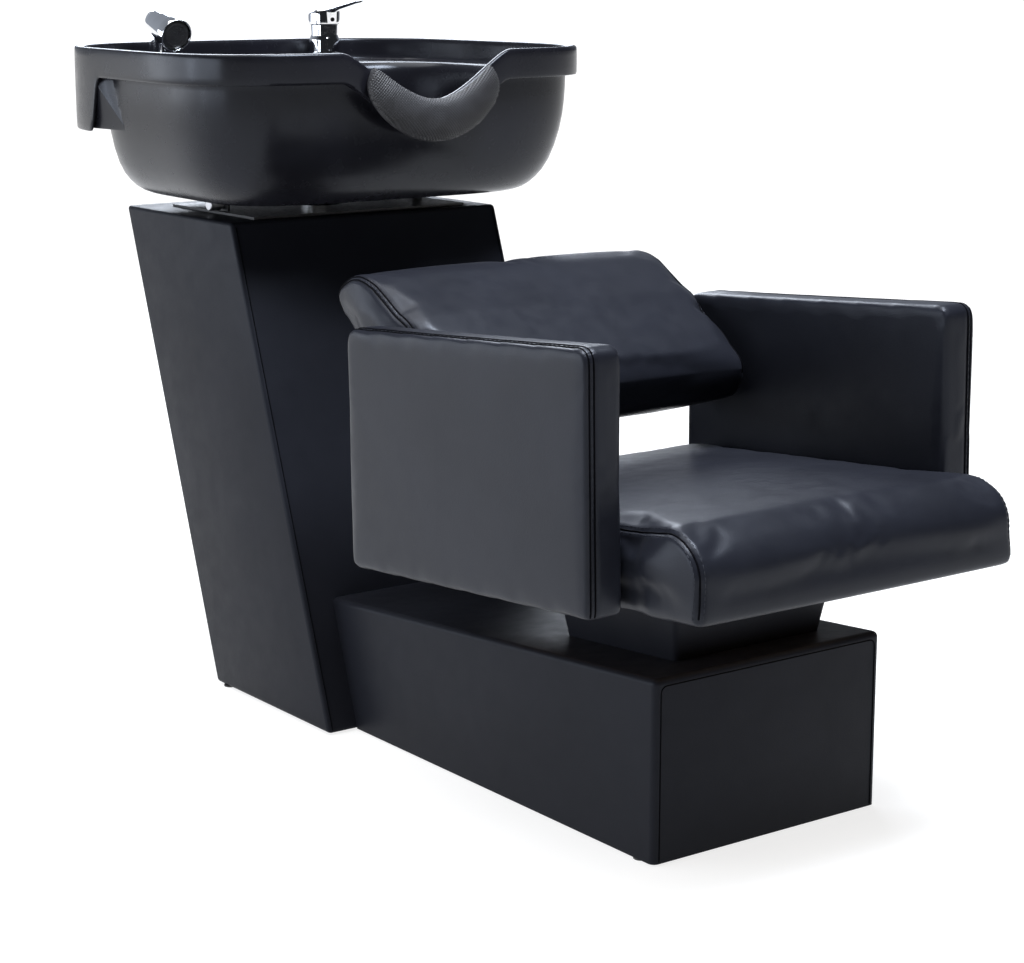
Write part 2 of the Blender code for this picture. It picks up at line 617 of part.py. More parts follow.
def make_neck_pad():
    """A soft crescent that hooks over the dip in the rim and bulges outwards over it."""
    rings = []
    count, sides, step = 22, 12, 0.0005
    for i in range(count + 1):
        s = -1 + 2 * i / count
        x = PAD_REACH * math.sin(s * math.pi / 2)
        full = 1 - s * s
        thick = 0.004 + 0.0185 * full ** 0.6
        hang = 0.006 + 0.044 * full ** 0.8
        # The section hangs square to the edge of the dip.
        slope = (notch(x - step, 0) - notch(x + step, 0)) / (2 * step)
        side = Vector((-slope, 0, 1)).normalized()
        base = Vector((x, rim_front(x), RIM_Z - notch(x, 0)))
        ring = []
        for turn in range(sides):
            a = 2 * math.pi * turn / sides
            out = -0.0008 - thick * (0.5 - 0.5 * math.cos(a))
            up = 0.002 - hang * 0.5 + (hang * 0.5 + 0.001) * math.sin(a)
            ring.append(base + Vector((0, out, 0)) + side * up)
        rings.append(ring)
    return loft("neck_rest_pad", rings, RUBBER)


def make_drain():
    place = at(0, DRAIN_Y, 0)
    top = BASIN_FLOOR
    turned("drain_flange", [(0.0185, top + 0.0012), (0.0330, top + 0.0012), (0.0338, top - 0.0002),
                            (0.0338, top - 0.0014), (0.0205, top - 0.0014), (0.0205, 0.600), (0.0185, 0.600),
                            (0.0185, top + 0.0012)], place, CHROME)
    turned("hair_strainer", [(0.0, top + 0.0145), (0.006, top + 0.0145), (0.0070, top + 0.0100),
                             (0.0255, top + 0.0065), (0.0285, top + 0.0018), (0.0170, top + 0.0018),
                             (0.0165, top - 0.0100), (0.0, top - 0.0100)], place, CHROME)
    nut("drain_nut", (0, DRAIN_Y, 0.6235), 0.0285, 0.0210, BASIN_BOTTOM - GAP - 0.6235, 8, DARK_PLASTIC)
    turned("drain_tailpiece", [(0.0135, 0.5995), (0.0235, 0.5995), (0.0235, 0.5850), (0.0165, 0.5850),
                               (0.0165, 0.5350), (0.0135, 0.5350), (0.0135, 0.5995)], place, DARK_PLASTIC)


# ---- tilt bracket ---------------------------------------------------------------------------------


def make_brackets():
    """The lower plate stands on the pedestal, the upper one is bolted to the basin, and ears carry the pins."""
    low = PED_TOP + GAP
    high = BASIN_BOTTOM - GAP
    plate = box("tilt_bracket_lower", (-PLATE_HALF, 0.288, low), (PLATE_HALF, 0.500, low + PLATE), DARK_STEEL)
    upper = box("tilt_bracket_upper", (-PLATE_HALF, 0.268, high - PLATE), (PLATE_HALF, 0.466, high), DARK_STEEL)
    inner_ear = EAR_X - PLATE - 0.0006
    lower_ears, upper_ears = [], []
    for sign, name in ((-1, "right"), (1, "left")):
        x = sorted((sign * (EAR_X - PLATE), sign * EAR_X))
        lower_ears.append(box(f"lower_ear_{name}", (x[0], HINGE_Y - 0.014, low + 0.001),
                              (x[1], HINGE_Y + 0.014, HINGE_Z + 0.0050), DARK_STEEL))
        x = sorted((sign * (inner_ear - PLATE), sign * inner_ear))
        upper_ears.append(box(f"upper_ear_{name}", (x[0], HINGE_Y - 0.006, HINGE_Z - 0.0055),
                              (x[1], HINGE_Y + 0.006, high - 0.001), DARK_STEEL))
    joined(plate, lower_ears)
    joined(upper, upper_ears)
    drill([plate], (0, DRAIN_Y, low - 0.01), (0, 0, 1), 0.03, PLATE_HOLE, "lower_plate_hole")
    drill([upper], (0, DRAIN_Y, high - 0.02), (0, 0, 1), 0.03, PLATE_HOLE, "upper_plate_hole")
    for sign, name in ((-1, "right"), (1, "left")):
        x, y = BASIN_BOLT
        drill([upper], (sign * x, y, HINGE_Z), (0, 0, 1), 0.02, 0.0036, f"upper_bolt_hole_{name}")
    drill([plate, upper], (-0.2, HINGE_Y, HINGE_Z), (1, 0, 0), 0.4, PIN_RADIUS + 0.00008, "pin_hole")
    make_hinge_pins(inner_ear - PLATE)
    knob_start = (-EAR_X - 0.0006, HINGE_Y, HINGE_Z)
    bore = PIN_RADIUS + 0.00008
    turned("tilt_lock_knob", [(bore, 0.0), (bore, KNOB_LENGTH / 2), (0.0, KNOB_LENGTH / 2), (0.0, KNOB_LENGTH),
                              (KNOB_RADIUS - 0.001, KNOB_LENGTH), (KNOB_RADIUS, KNOB_LENGTH - 0.001),
                              (KNOB_RADIUS, 0.004), (KNOB_RADIUS - 0.002, 0.003), (KNOB_RADIUS - 0.002, 0.0),
                              (bore, 0.0)], at(*knob_start) @ along((-1, 0, 0)), STEEL, 20)


def make_hinge_pins(inner_face):
    """Each pin goes through both ears from inside. The right one also carries the lock knob."""
    for sign, name, end in ((-1, "right", EAR_X + 0.0095), (1, "left", EAR_X + 0.0030)):
        head_start = inner_face - 0.0022
        head = rod(f"tilt_hinge_pin_{name}", (sign * head_start, HINGE_Y, HINGE_Z), (sign, 0, 0), 0.0020,
                   0.0050, STEEL)
        shank = rod(f"hinge_shank_{name}", (sign * (head_start + 0.001), HINGE_Y, HINGE_Z), (sign, 0, 0),
                    end - head_start - 0.001, PIN_RADIUS, STEEL, sides=24)
        joined(head, [shank])


# ---- mixer and hand shower --------------------------------------------------------------------------


def make_mixer():
    place = at(MIXER_X, TAP_Y, 0)
    base = DECK_Z + GAP
    split = base + 0.050
    turned("mixer_body", [(0.0, split), (0.0185, split), (NECK_RADIUS, split - 0.0006),
                          (NECK_RADIUS, base + 0.034), (0.0208, base + 0.030), (0.0212, base + 0.012),
                          (0.0235, base + 0.004), (0.0250, base), (0.0140, base), (0.0140, DECK_Z - 0.045),
                          (0.0, DECK_Z - 0.045)], place, CHROME)
    under_deck = UNDER_DECK_Z - GAP
    nut("mixer_nut", (MIXER_X, TAP_Y, under_deck - 0.007), 0.0215, 0.0145, 0.007, 6, STEEL)
    turned("mixer_cartridge", [(0.0, split + 0.0070), (0.0070, split + 0.0070), (0.0070, split + 0.0045),
                               (0.0150, split + 0.0045), (0.0150, split + 0.0004), (0.0, split + 0.0004)],
           place, DARK_PLASTIC)
    cap_low = split + 0.0006
    cap_outline = [(0.0, 0.0215), (0.0130, 0.0205), (0.0205, 0.0165), (CAP_RADIUS, 0.0100), (CAP_RADIUS, 0.0),
                   (CAP_BORE, 0.0), (CAP_BORE, 0.0115), (0.0, 0.0115)]
    cap = turned("mixer_lever", [(r, cap_low + z) for r, z in cap_outline], place, CHROME)
    blade = blade_mesh(Vector((MIXER_X, TAP_Y, cap_low + 0.0150)))
    joined(cap, [blade])
    dot_y = TAP_Y - CAP_RADIUS - 0.0002
    rod("mixer_indicator", (MIXER_X, dot_y - 0.0010, cap_low + 0.0065), (0, 1, 0), 0.0009, 0.0028, DARK_PLASTIC)


def blade_mesh(start):
    """The lever blade: it leaves the cap towards -Y, rises, and thins and narrows to its tip."""
    rings = []
    for t in (0.0, 0.25, 0.55, 0.85, 1.0):
        out = 0.004 + (LEVER_LENGTH - 0.004) * t
        half = 0.0105 - 0.0040 * t
        thick = 0.0044 - 0.0026 * t
        middle = start + Vector((0, -out, out * math.tan(LEVER_RISE)))
        ring = []
        for i in range(10):
            a = 2 * math.pi * i / 10
            ring.append(middle + Vector((half * math.cos(a), 0, thick * math.sin(a))))
        rings.append(ring)
    return loft("lever_blade", rings, CHROME)


def make_spray():
    place = at(SPRAY_X, TAP_Y, 0)
    base = DECK_Z + GAP
    turned("spray_holder", [(0.0120, base + 0.016), (0.0150, base + 0.016), (0.0175, base + 0.006),
                            (0.0230, base + 0.0025), (0.0230, base), (0.0145, base), (0.0145, DECK_Z - 0.045),
                            (0.0120, DECK_Z - 0.045), (0.0120, base + 0.016)], place, CHROME)
    handle = turned("spray_handset", [(0.0, SPRAY_AXIS_Z), (0.0112, SPRAY_AXIS_Z), (0.0108, base + 0.030),
                                      (0.0110, base + 0.018), (0.0110, base - 0.030), (0.0085, base - 0.040),
                                      (0.0085, base - 0.052), (0.0, base - 0.052)], place, CHROME)
    axis = Vector((0, -math.cos(SPRAY_DROOP), -math.sin(SPRAY_DROOP)))
    rear = Vector((SPRAY_X, TAP_Y + 0.010, SPRAY_AXIS_Z + 0.0035))
    sunk = SPRAY_LENGTH - 0.0045
    barrel = [(0.0, sunk), (0.0200, sunk), (0.0200, SPRAY_LENGTH), (SPRAY_RADIUS, SPRAY_LENGTH),
              (SPRAY_RADIUS, 0.0540), (0.0205, 0.0330), (0.0185, 0.0150), (0.0150, 0.0050), (0.0080, 0.0008),
              (0.0, 0.0)]
    joined(handle, [turned("spray_head_barrel", barrel, at(*rear) @ along(axis), CHROME)])
    face = rear + axis * (sunk + GAP)
    turned("spray_face", [(0.0, 0.0034), (0.0150, 0.0032), (0.0190, 0.0018), (0.0195, 0.0), (0.0, 0.0)],
           at(*face) @ along(axis), DARK_PLASTIC)


# ---- assembly -------------------------------------------------------------------------------------


def smooth_round_pieces():
    for obj in parts.objects:
        if obj.type == "MESH":
            obj.data.shade_smooth()
            obj.data.set_sharp_from_angle(angle=math.radians(35))


def main():
    global parts, cutters
    clear_scene()
    parts = collection("shampoo_backwash_unit")
    cutters = collection("cutters")
    pedestal_front, rail = make_pedestal()
    plinth_back = make_plinth()
    make_joining_bolts(plinth_back, pedestal_front, rail)
    make_feet()
    make_riser()
    make_seat()
    make_arms()
    make_backrest()
    make_basin()
    make_neck_pad()
    make_drain()
    make_brackets()
    make_mixer()
    make_spray()
    smooth_round_pieces()


main()
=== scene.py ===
"""Looks of the salon shampoo backwash unit: leather covers, moulded basin, chrome, studio and camera.

Metres, +Z up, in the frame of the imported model. The sitter faces -Y and the basin is at +Y.
"""

import json
import math

import bmesh
import bpy
import numpy as np
from mathutils import Matrix, Vector
from mathutils.bvhtree import BVHTree
from mathutils.kdtree import KDTree


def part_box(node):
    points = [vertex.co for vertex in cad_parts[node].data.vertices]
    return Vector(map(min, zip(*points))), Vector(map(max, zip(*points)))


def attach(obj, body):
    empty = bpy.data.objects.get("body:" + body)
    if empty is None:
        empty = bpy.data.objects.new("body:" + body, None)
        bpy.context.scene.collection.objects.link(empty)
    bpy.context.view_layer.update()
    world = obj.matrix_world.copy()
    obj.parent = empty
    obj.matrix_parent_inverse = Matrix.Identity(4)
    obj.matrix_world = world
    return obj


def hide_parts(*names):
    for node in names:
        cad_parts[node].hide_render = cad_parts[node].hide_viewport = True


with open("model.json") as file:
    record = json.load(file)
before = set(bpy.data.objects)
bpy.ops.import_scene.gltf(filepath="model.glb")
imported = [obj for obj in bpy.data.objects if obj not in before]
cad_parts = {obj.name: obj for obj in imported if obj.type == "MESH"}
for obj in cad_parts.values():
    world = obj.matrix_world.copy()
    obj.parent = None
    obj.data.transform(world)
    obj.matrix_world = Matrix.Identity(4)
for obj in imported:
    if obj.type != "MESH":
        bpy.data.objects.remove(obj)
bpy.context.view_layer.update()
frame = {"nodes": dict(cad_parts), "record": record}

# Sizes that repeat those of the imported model
PED_HALF, PED_FRONT_Y, PED_DEPTH, PED_TOP, PED_LEAN = 0.2016, 0.062, 0.277, 0.609, 0.348
BOARD, GAP, FLOOR_Z = 0.018, 0.0003, 0.0023
SLOPE = 0.075
PLINTH_HALF, PLINTH_FRONT_Y, PLINTH_FRONT_TOP = 0.161, -0.509, 0.204
RISER_X, RISER_HALF, RISER_FLARE, RISER_WALL = 0.012, 0.104, 0.014, 0.015
RISER_FRONT_Y, RISER_BACK_Y = -0.460, -0.270
SEAT_HALF, SEAT_FRONT_Y, SEAT_BACK_Y = 0.2215, -0.645, -0.125
SEAT_FRONT_BOTTOM, SEAT_THICK, SEAT_ROUND = 0.302, 0.088, 0.048
SEAT_BOARD_HALF, SEAT_BOARD_INSET = 0.212, 0.012
BRACKET_FRONT_Y, BRACKET_BACK_Y = -0.48, -0.22
ARM_OUTER, ARM_THICK, ARM_HEIGHT = 0.2714, 0.048, 0.2715
ARM_INNER = ARM_OUTER - ARM_THICK
ARM_FRONT_Y, ARM_BACK_Y, ARM_FRONT_BOTTOM, ARM_LEAN = -0.535, -0.102, 0.290, 0.006
BACK_HALF = 0.2205
SEAM_LIFT, SEAM_RADIUS = 0.0002, 0.0010
CLOTH_FRAMES = 20
CLOTH = {"use_pressure": True, "quality": 4, "tension_stiffness": 25, "compression_stiffness": 25,
         "bending_stiffness": 6.0}
RIM_Z, DECK_Z = 0.819, 0.789
RIM = (0.295 * 1.0376, 0.128, 0.645, 0.10, 4.0)
OPENING = (0.255, 0.156, 0.530, 0.05, 4.0)
BODY_TOP = (0.282, 0.146, 0.556, 0.05, 4.4)
RIM_DROP, APRON_DROP, WALL = 0.037, 0.106, 0.005
BASIN_BOTTOM, BASIN_FLOOR, UNDER_DECK_Z = 0.632, 0.642, 0.7855
NOTCH_HALF, NOTCH_DEPTH, NOTCH_POWER = 0.122, 0.060, 0.66
APRON_Y, APRON_BLEND = 0.455, 0.030
GUSSET_LOW, GUSSET_HIGH = 0.717, 0.785
PAD_REACH = 0.086
DRAIN_Y, MIXER_X, SPRAY_X, TAP_Y = 0.400, 0.132, -0.130, 0.585
LEVER_LENGTH, LEVER_RISE = 0.100, math.radians(10.5)
SPRAY_DROOP, SPRAY_LENGTH, SPRAY_AXIS_Z = math.radians(18), 0.0675, 0.847


# ---- materials


def add_node(tree, kind, inputs, **values):
    """A node with its settings. An input is a value, or the output of another node."""
    node = tree.nodes.new(kind)
    for key, value in values.items():
        setattr(node, key, value)
    for socket, value in inputs.items():
        if isinstance(value, bpy.types.NodeSocket):
            tree.links.new(value, node.inputs[socket])
        else:
            node.inputs[socket].default_value = value
    return node


class Nodes:
    """A Principled material whose noise, bump and ramps are added by short calls."""

    def __init__(self, name, colour, roughness, metallic=0.0, **fixed):
        self.material = bpy.data.materials.new(name)
        self.material.use_nodes = True
        self.tree = self.material.node_tree
        self.shader = self.tree.nodes["Principled BSDF"]
        fixed.update(Base_Color=(*colour, 1.0), Roughness=roughness, Metallic=metallic)
        for socket, value in fixed.items():
            self.shader.inputs[socket.replace("_", " ")].default_value = value
        self.place = self.add("ShaderNodeTexCoord", {}).outputs["Object"]

    def add(self, kind, inputs, **values):
        return add_node(self.tree, kind, inputs, **values)

    def stretched(self, scale):
        return self.add("ShaderNodeMapping", {"Scale": scale, "Vector": self.place}).outputs["Vector"]

    def noise(self, scale, detail=3.0, rough=0.55, place=None):
        inputs = {"Scale": scale, "Detail": detail, "Roughness": rough, "Vector": place or self.place}
        return self.add("ShaderNodeTexNoise", inputs).outputs["Fac"]

    def cells(self, scale, feature):
        inputs = {"Scale": scale, "Vector": self.place}
        return self.add("ShaderNodeTexVoronoi", inputs, feature=feature).outputs["Distance"]

    def ranged(self, source, low, high, start=0.0, end=1.0):
        inputs = {"From Min": start, "From Max": end, "To Min": low, "To Max": high, "Value": source}
        return self.add("ShaderNodeMapRange", inputs).outputs["Result"]

    def mixed(self, factor, first, second):
        inputs = {6: (*first, 1.0), 7: (*second, 1.0), "Factor": factor}
        return self.add("ShaderNodeMix", inputs, data_type="RGBA").outputs[2]

    def colour(self, output):
        self.tree.links.new(output, self.shader.inputs["Base Color"])

    def tinted(self, tone, dark, light, start=0.35, end=0.65):
        """Colours the surface from dark to light while the tone goes from start to end."""
        self.colour(self.mixed(self.ranged(tone, 0.0, 1.0, start, end), dark, light))

    def worn(self, tone, low, high, start=0.3, end=0.7):
        """Makes the roughness go from low to high while the tone goes from start to end."""
        self.tree.links.new(self.ranged(tone, low, high, start, end), self.shader.inputs["Roughness"])

    def bump(self, height, strength, distance, under=None):
        inputs = {"Strength": strength, "Distance": distance, "Height": height}
        if under is not None:
            inputs["Normal"] = under
        bumped = self.add("ShaderNodeBump", inputs).outputs["Normal"]
        self.tree.links.new(bumped, self.shader.inputs["Normal"])
        return bumped


COOL = (0.86, 0.91, 1.0, 1.0)


def leather(name, dark, light, roughness, specular):
    nodes = Nodes(name, dark, roughness, Specular_IOR_Level=specular, Specular_Tint=COOL)
    nodes.tinted(nodes.noise(9.0, 4.0), dark, light, 0.3, 0.7)
    pores = nodes.cells(780.0, "SMOOTH_F1")
    nodes.worn(nodes.noise(42.0, 5.0), roughness - 0.04, roughness + 0.05)
    fine = nodes.bump(pores, 0.22, 0.00035)
    nodes.bump(nodes.noise(16.0, 3.0), 0.08, 0.0018, fine)
    return nodes.material


def gloss_plastic(name):
    nodes = Nodes(name, (0.006, 0.006, 0.008), 0.27, Specular_IOR_Level=0.21, Specular_Tint=COOL)
    nodes.tinted(nodes.noise(5.0), (0.0055, 0.0055, 0.007), (0.008, 0.008, 0.011))
    nodes.worn(nodes.noise(40.0, 4.0), 0.22, 0.30, 0.3, 0.75)
    nodes.bump(nodes.noise(11.0, 2.0), 0.04, 0.0014)
    return nodes.material


def chrome(name):
    roughness = 0.05
    nodes = Nodes(name, (0.84, 0.85, 0.87), roughness, 1.0)
    nodes.worn(nodes.noise(180.0, 5.0), roughness * 0.7, roughness * 1.8, 0.35)
    nodes.colour(nodes.mixed(nodes.noise(22.0), (0.80, 0.81, 0.83), (0.88, 0.89, 0.91)))
    return nodes.material


def moulded(name, dark, light, roughness):
    nodes = Nodes(name, dark, roughness)
    nodes.tinted(nodes.noise(60.0, 4.0), dark, light)
    nodes.worn(nodes.noise(120.0, 3.0), roughness - 0.06, roughness + 0.08)
    nodes.bump(nodes.noise(900.0, 2.0), 0.18, 0.0003)
    return nodes.material


def metal(name, dark, light, roughness, metallic=1.0):
    nodes = Nodes(name, dark, roughness, metallic)
    nodes.colour(nodes.mixed(nodes.noise(80.0, 5.0), dark, light))
    nodes.worn(nodes.noise(220.0, 5.0), roughness - 0.08, roughness + 0.12)
    nodes.bump(nodes.noise(700.0, 2.0), 0.08, 0.0002)
    return nodes.material


def plywood(name):
    nodes = Nodes(name, (0.45, 0.30, 0.16), 0.62)
    rings = nodes.noise(4.0, 6.0, 0.65, nodes.stretched((2.5, 26.0, 26.0)))
    nodes.tinted(rings, (0.50, 0.34, 0.19), (0.33, 0.20, 0.10), 0.3, 0.7)
    nodes.worn(rings, 0.55, 0.72)
    nodes.bump(rings, 0.2, 0.0006)
    return nodes.material


MATERIALS = {
    "leather": leather("black_leather", (0.0085, 0.0092, 0.0128), (0.0112, 0.0122, 0.0170), 0.36, 0.18),
    "covered_panel": leather("panel_leather", (0.0085, 0.0091, 0.0121), (0.0106, 0.0113, 0.0150), 0.42,
                             0.085),
    "plywood": plywood("raw_plywood"),
    "basin_plastic": gloss_plastic("gloss_black_moulding"),
    "chrome": chrome("polished_chrome"),
    "zinc_steel": metal("zinc_plated_steel", (0.50, 0.50, 0.52), (0.62, 0.62, 0.63), 0.34),
    "black_steel": metal("black_powder_coat", (0.012, 0.012, 0.013), (0.020, 0.020, 0.021), 0.42, 0.0),
    "gel_rubber": moulded("matt_black_rubber", (0.012, 0.012, 0.014), (0.020, 0.020, 0.023), 0.50),
    "dark_plastic": moulded("matt_black_plastic", (0.014, 0.014, 0.015), (0.022, 0.022, 0.023), 0.46),
}
THREAD = leather("black_thread", (0.012, 0.013, 0.017), (0.030, 0.032, 0.040), 0.55, 0.18)
# Near-black material for the thin tubes laid along the seams: painted shade of the seam furrows, not a real
# colour of the leather
SEAM_SHADE = leather("seam_painted_shade", (0.001, 0.001, 0.0015), (0.002, 0.002, 0.003), 0.60, 0.03)
LEATHER, PANEL = MATERIALS["leather"], MATERIALS["covered_panel"]
CHROME, BASIN_PLASTIC = MATERIALS["chrome"], MATERIALS["basin_plastic"]


# ---- mesh tools


def linked(name, data):
    obj = bpy.data.objects.new(name, data)
    bpy.context.scene.collection.objects.link(obj)
    return obj


def angles(count):
    """Equal turns round a circle."""
    return [2 * math.pi * i / count for i in range(count)]


def skin(bm, lower, upper):
    """Joins two rings that have equally many points."""
    for i, start in enumerate(lower):
        j = (i + 1) % len(lower)
        bm.faces.new((start, lower[j], upper[j], upper[i]))


def from_bmesh(name, bm, material, smooth_angle=35.0):
    bmesh.ops.recalc_face_normals(bm, faces=bm.faces)
    mesh = bpy.data.meshes.new(name)
    bm.to_mesh(mesh)
    bm.free()
    mesh.materials.append(material)
    obj = linked(name, mesh)
    shade(obj, smooth_angle)
    return obj


def shade(obj, angle=35.0):
    obj.data.shade_smooth()
    if angle < 180:
        obj.data.set_sharp_from_angle(angle=math.radians(angle))


def modified(obj, kind, **values):
    """Adds a modifier and applies it."""
    made = obj.modifiers.new(kind.lower(), kind)
    for key, value in values.items():
        setattr(made, key, value)
    graph = bpy.context.evaluated_depsgraph_get()
    graph.update()
    mesh = bpy.data.meshes.new_from_object(obj.evaluated_get(graph))
    obj.modifiers.clear()
    old, obj.data = obj.data, mesh
    if old.users == 0:
        bpy.data.meshes.remove(old)
    return obj


def bevelled(obj, width, segments=3, angle=35.0):
    return modified(obj, "BEVEL", width=width, segments=segments, limit_method="ANGLE",
                    angle_limit=math.radians(angle))


def subdivided(obj):
    modified(obj, "SUBSURF", levels=1, render_levels=1)


def cut(obj, tool, operation="DIFFERENCE"):
    modified(obj, "BOOLEAN", operation=operation, object=tool, solver="EXACT")
    bpy.data.objects.remove(tool)


def board(name, outline, half, material):
    return prism(name, outline, -half, half, material)


def prism(name, outline, x_low, x_high, material):
    """A board with its outline in the Y-Z plane, between two X planes."""
    bm = bmesh.new()
    low, high = ([bm.verts.new((x, y, z)) for y, z in outline] for x in (x_low, x_high))
    skin(bm, low, high)
    bm.faces.new(low[::-1])
    bm.faces.new(high)
    return from_bmesh(name, bm, material)


def loft(name, rings, material, closed=False, angle=180.0):
    """Skins rings of points. With closed, the last ring joins the first."""
    bm = bmesh.new()
    rows = [[bm.verts.new(tuple(map(float, p))) for p in ring] for ring in rings]
    pairs = list(zip(rows, rows[1:])) + ([(rows[-1], rows[0])] if closed else [])
    for lower, upper in pairs:
        skin(bm, lower, upper)
    if not closed:
        for ends in (rows[0], rows[-1]):
            middle = bm.verts.new(sum((v.co for v in ends), Vector()) / len(ends))
            for one, other in zip(ends, ends[1:] + ends[:1]):
                bm.faces.new((one, other, middle))
    return from_bmesh(name, bm, material, angle)


def bend(start, corner, end, steps=5):
    """Points of the curve from start to end that rounds off a corner."""
    return [(1 - t) ** 2 * start + 2 * t * (1 - t) * corner + t * t * end
            for t in (i / steps for i in range(steps + 1))]


def rounded_profile(profile, radius):
    """The (r, z) profile with its inner corners rounded, for a turned piece."""
    points = np.array(profile, float)
    out = [points[0]]
    for before, corner, after in zip(points, points[1:], points[2:]):
        back, on = before - corner, after - corner
        back_length, on_length = np.linalg.norm(back), np.linalg.norm(on)
        size = min(radius, back_length * 0.45, on_length * 0.45)
        out += bend(corner + back / back_length * size, corner, corner + on / on_length * size, 4)
    return out + [points[-1]]


def rounded(before, corner, after, radius):
    start = corner + (before - corner).normalized() * radius
    return bend(start, corner, corner + (after - corner).normalized() * radius)


def rounded_corners(corners, radius):
    """A path through these points with its inner corners rounded."""
    points = [Vector(p) for p in corners]
    out = [points[0]]
    for before, corner, after in zip(points, points[1:], points[2:]):
        out += rounded(before, corner, after, radius)
    return out + [points[-1]]


def rounded_loop(outline, radii):
    """A closed Y-Z outline with each corner rounded by its own radius."""
    points = [Vector((0, *p)) for p in outline]
    out = []
    for i, radius in enumerate(radii):
        out += rounded(points[i - 1], points[i], points[(i + 1) % len(points)], radius)
    return [(p.y, p.z) for p in out]


def turned(name, profile, place, material, steps=96, soften=0.0):
    """Turns an (r, z) profile about the Z of place. Points on the axis close it; otherwise it is a loop.

    soften rounds the inner corners of the profile."""
    if soften:
        profile = rounded_profile(profile, soften)
    bm = bmesh.new()
    rings = []
    for r, z in profile:
        on_axis = r < 1e-6
        spots = [(0, 0, z)] if on_axis else [(r * math.cos(a), r * math.sin(a), z) for a in angles(steps)]
        rings.append([bm.verts.new(spot) for spot in spots])
    pairs = list(zip(rings, rings[1:])) + ([(rings[-1], rings[0])] if len(rings[0]) > 1 else [])
    for first, second in pairs:
        if len(first) == len(second):
            skin(bm, first, second)
            continue
        for i in range(steps):
            j = (i + 1) % steps
            tip = (first[0], second[j], second[i]) if len(first) == 1 else (first[i], first[j], second[0])
            bm.faces.new(tip)
    bmesh.ops.transform(bm, matrix=place, verts=bm.verts)
    return from_bmesh(name, bm, material, 32.0)


def at(x, y, z):
    return Matrix.Translation((x, y, z))


def along(axis):
    """Turns +Z onto this direction."""
    return Vector((0, 0, 1)).rotation_difference(Vector(axis)).to_matrix().to_4x4()


def union_of(name, objects, material):
    """One mesh from several closed pieces, with no join between their surfaces."""
    first = objects[0]
    for other in objects[1:]:
        cut(first, other, "UNION")
    first.name = name
    first.data.name = name
    first.data.materials.clear()
    first.data.materials.append(material)
    shade(first, 32.0)
    return first


def rod(radius, low, high, place, material, steps=48):
    """A plain round bar, to cut holes with."""
    return turned("rod", [(0.0, low), (radius, low), (radius, high), (0.0, high)], place, material, steps)


def smooth_step(value):
    value = np.clip(value, 0.0, 1.0)
    return value * value * (3 - 2 * value)


def put(obj, body, replaces=()):
    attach(obj, body)
    if replaces:
        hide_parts(*replaces)


# ---- seams


def travelled(points):
    """The distance along a path to each of its points."""
    out = [0.0]
    for a, b in zip(points, points[1:]):
        out.append(out[-1] + (b - a).length)
    return out


def reached(distance, lengths, table):
    """The row of the table that belongs to this distance along its path."""
    return Vector([np.interp(distance, lengths, table[:, k]) for k in range(3)])


def path_points(corners, step):
    """Points at equal steps along a path of straight pieces."""
    points = [Vector(p) for p in corners]
    lengths, table = travelled(points), np.array([tuple(p) for p in points])
    count = max(2, int(round(lengths[-1] / step)) + 1)
    return [reached(s, lengths, table) for s in np.linspace(0, lengths[-1], count)]


def tube(name, points, radius, sides=8):
    """A thin near-black tube through these points: painted shade along a seam."""
    rings = []
    for before, point, after in zip([points[0]] + points, points, points[1:] + [points[-1]]):
        axis = (after - before).normalized()
        side = axis.cross(Vector((0.31, 0.17, 0.93))).normalized()
        up = axis.cross(side)
        rings.append([point + radius * (math.cos(a) * side + math.sin(a) * up) for a in angles(sides)])
    return loft(name, rings, SEAM_SHADE)


def seam(name, obj, path, depth, width):
    """Draws the cover in along a path and lays a near-black tube in the furrow, painted shade of the seam."""
    line = relaxed(on_surface(obj, path)[0])
    groove(obj, line, depth, width)
    laid = relaxed(on_surface(obj, line, SEAM_LIFT)[0], 2)
    put(tube(name, laid, SEAM_RADIUS, 6), "base")


def on_surface(obj, points, lift=0.0):
    """Each point moved to the nearest place on the piece, and the normals there."""
    bm = bmesh.new()
    bm.from_mesh(obj.data)
    tree = BVHTree.FromBMesh(bm)
    bm.free()
    spots, normals = [], []
    for point in points:
        spot, normal, _, _ = tree.find_nearest(point)
        spots.append(spot + normal * lift)
        normals.append(normal)
    return spots, normals


def relaxed(points, times=6):
    for _ in range(times):
        inner = [(a + 2 * b + c) / 4 for a, b, c in zip(points, points[1:], points[2:])]
        points = [points[0]] + inner + [points[-1]]
    return points


def groove(obj, path, depth, width):
    """Sinks the surface along a path, with a soft lip on either side."""
    tree = KDTree(len(path))
    for i, point in enumerate(path):
        tree.insert(point, i)
    tree.balance()
    normals = [v.normal.copy() for v in obj.data.vertices]
    for vertex, normal in zip(obj.data.vertices, normals):
        _, _, distance = tree.find(vertex.co)
        if distance < 4 * width:
            sunk = depth * math.exp(-(distance / width) ** 2)
            lip = 0.15 * depth * math.exp(-((distance - 2.2 * width) / width) ** 2)
            vertex.co -= normal * (sunk - lip)
    obj.data.update()


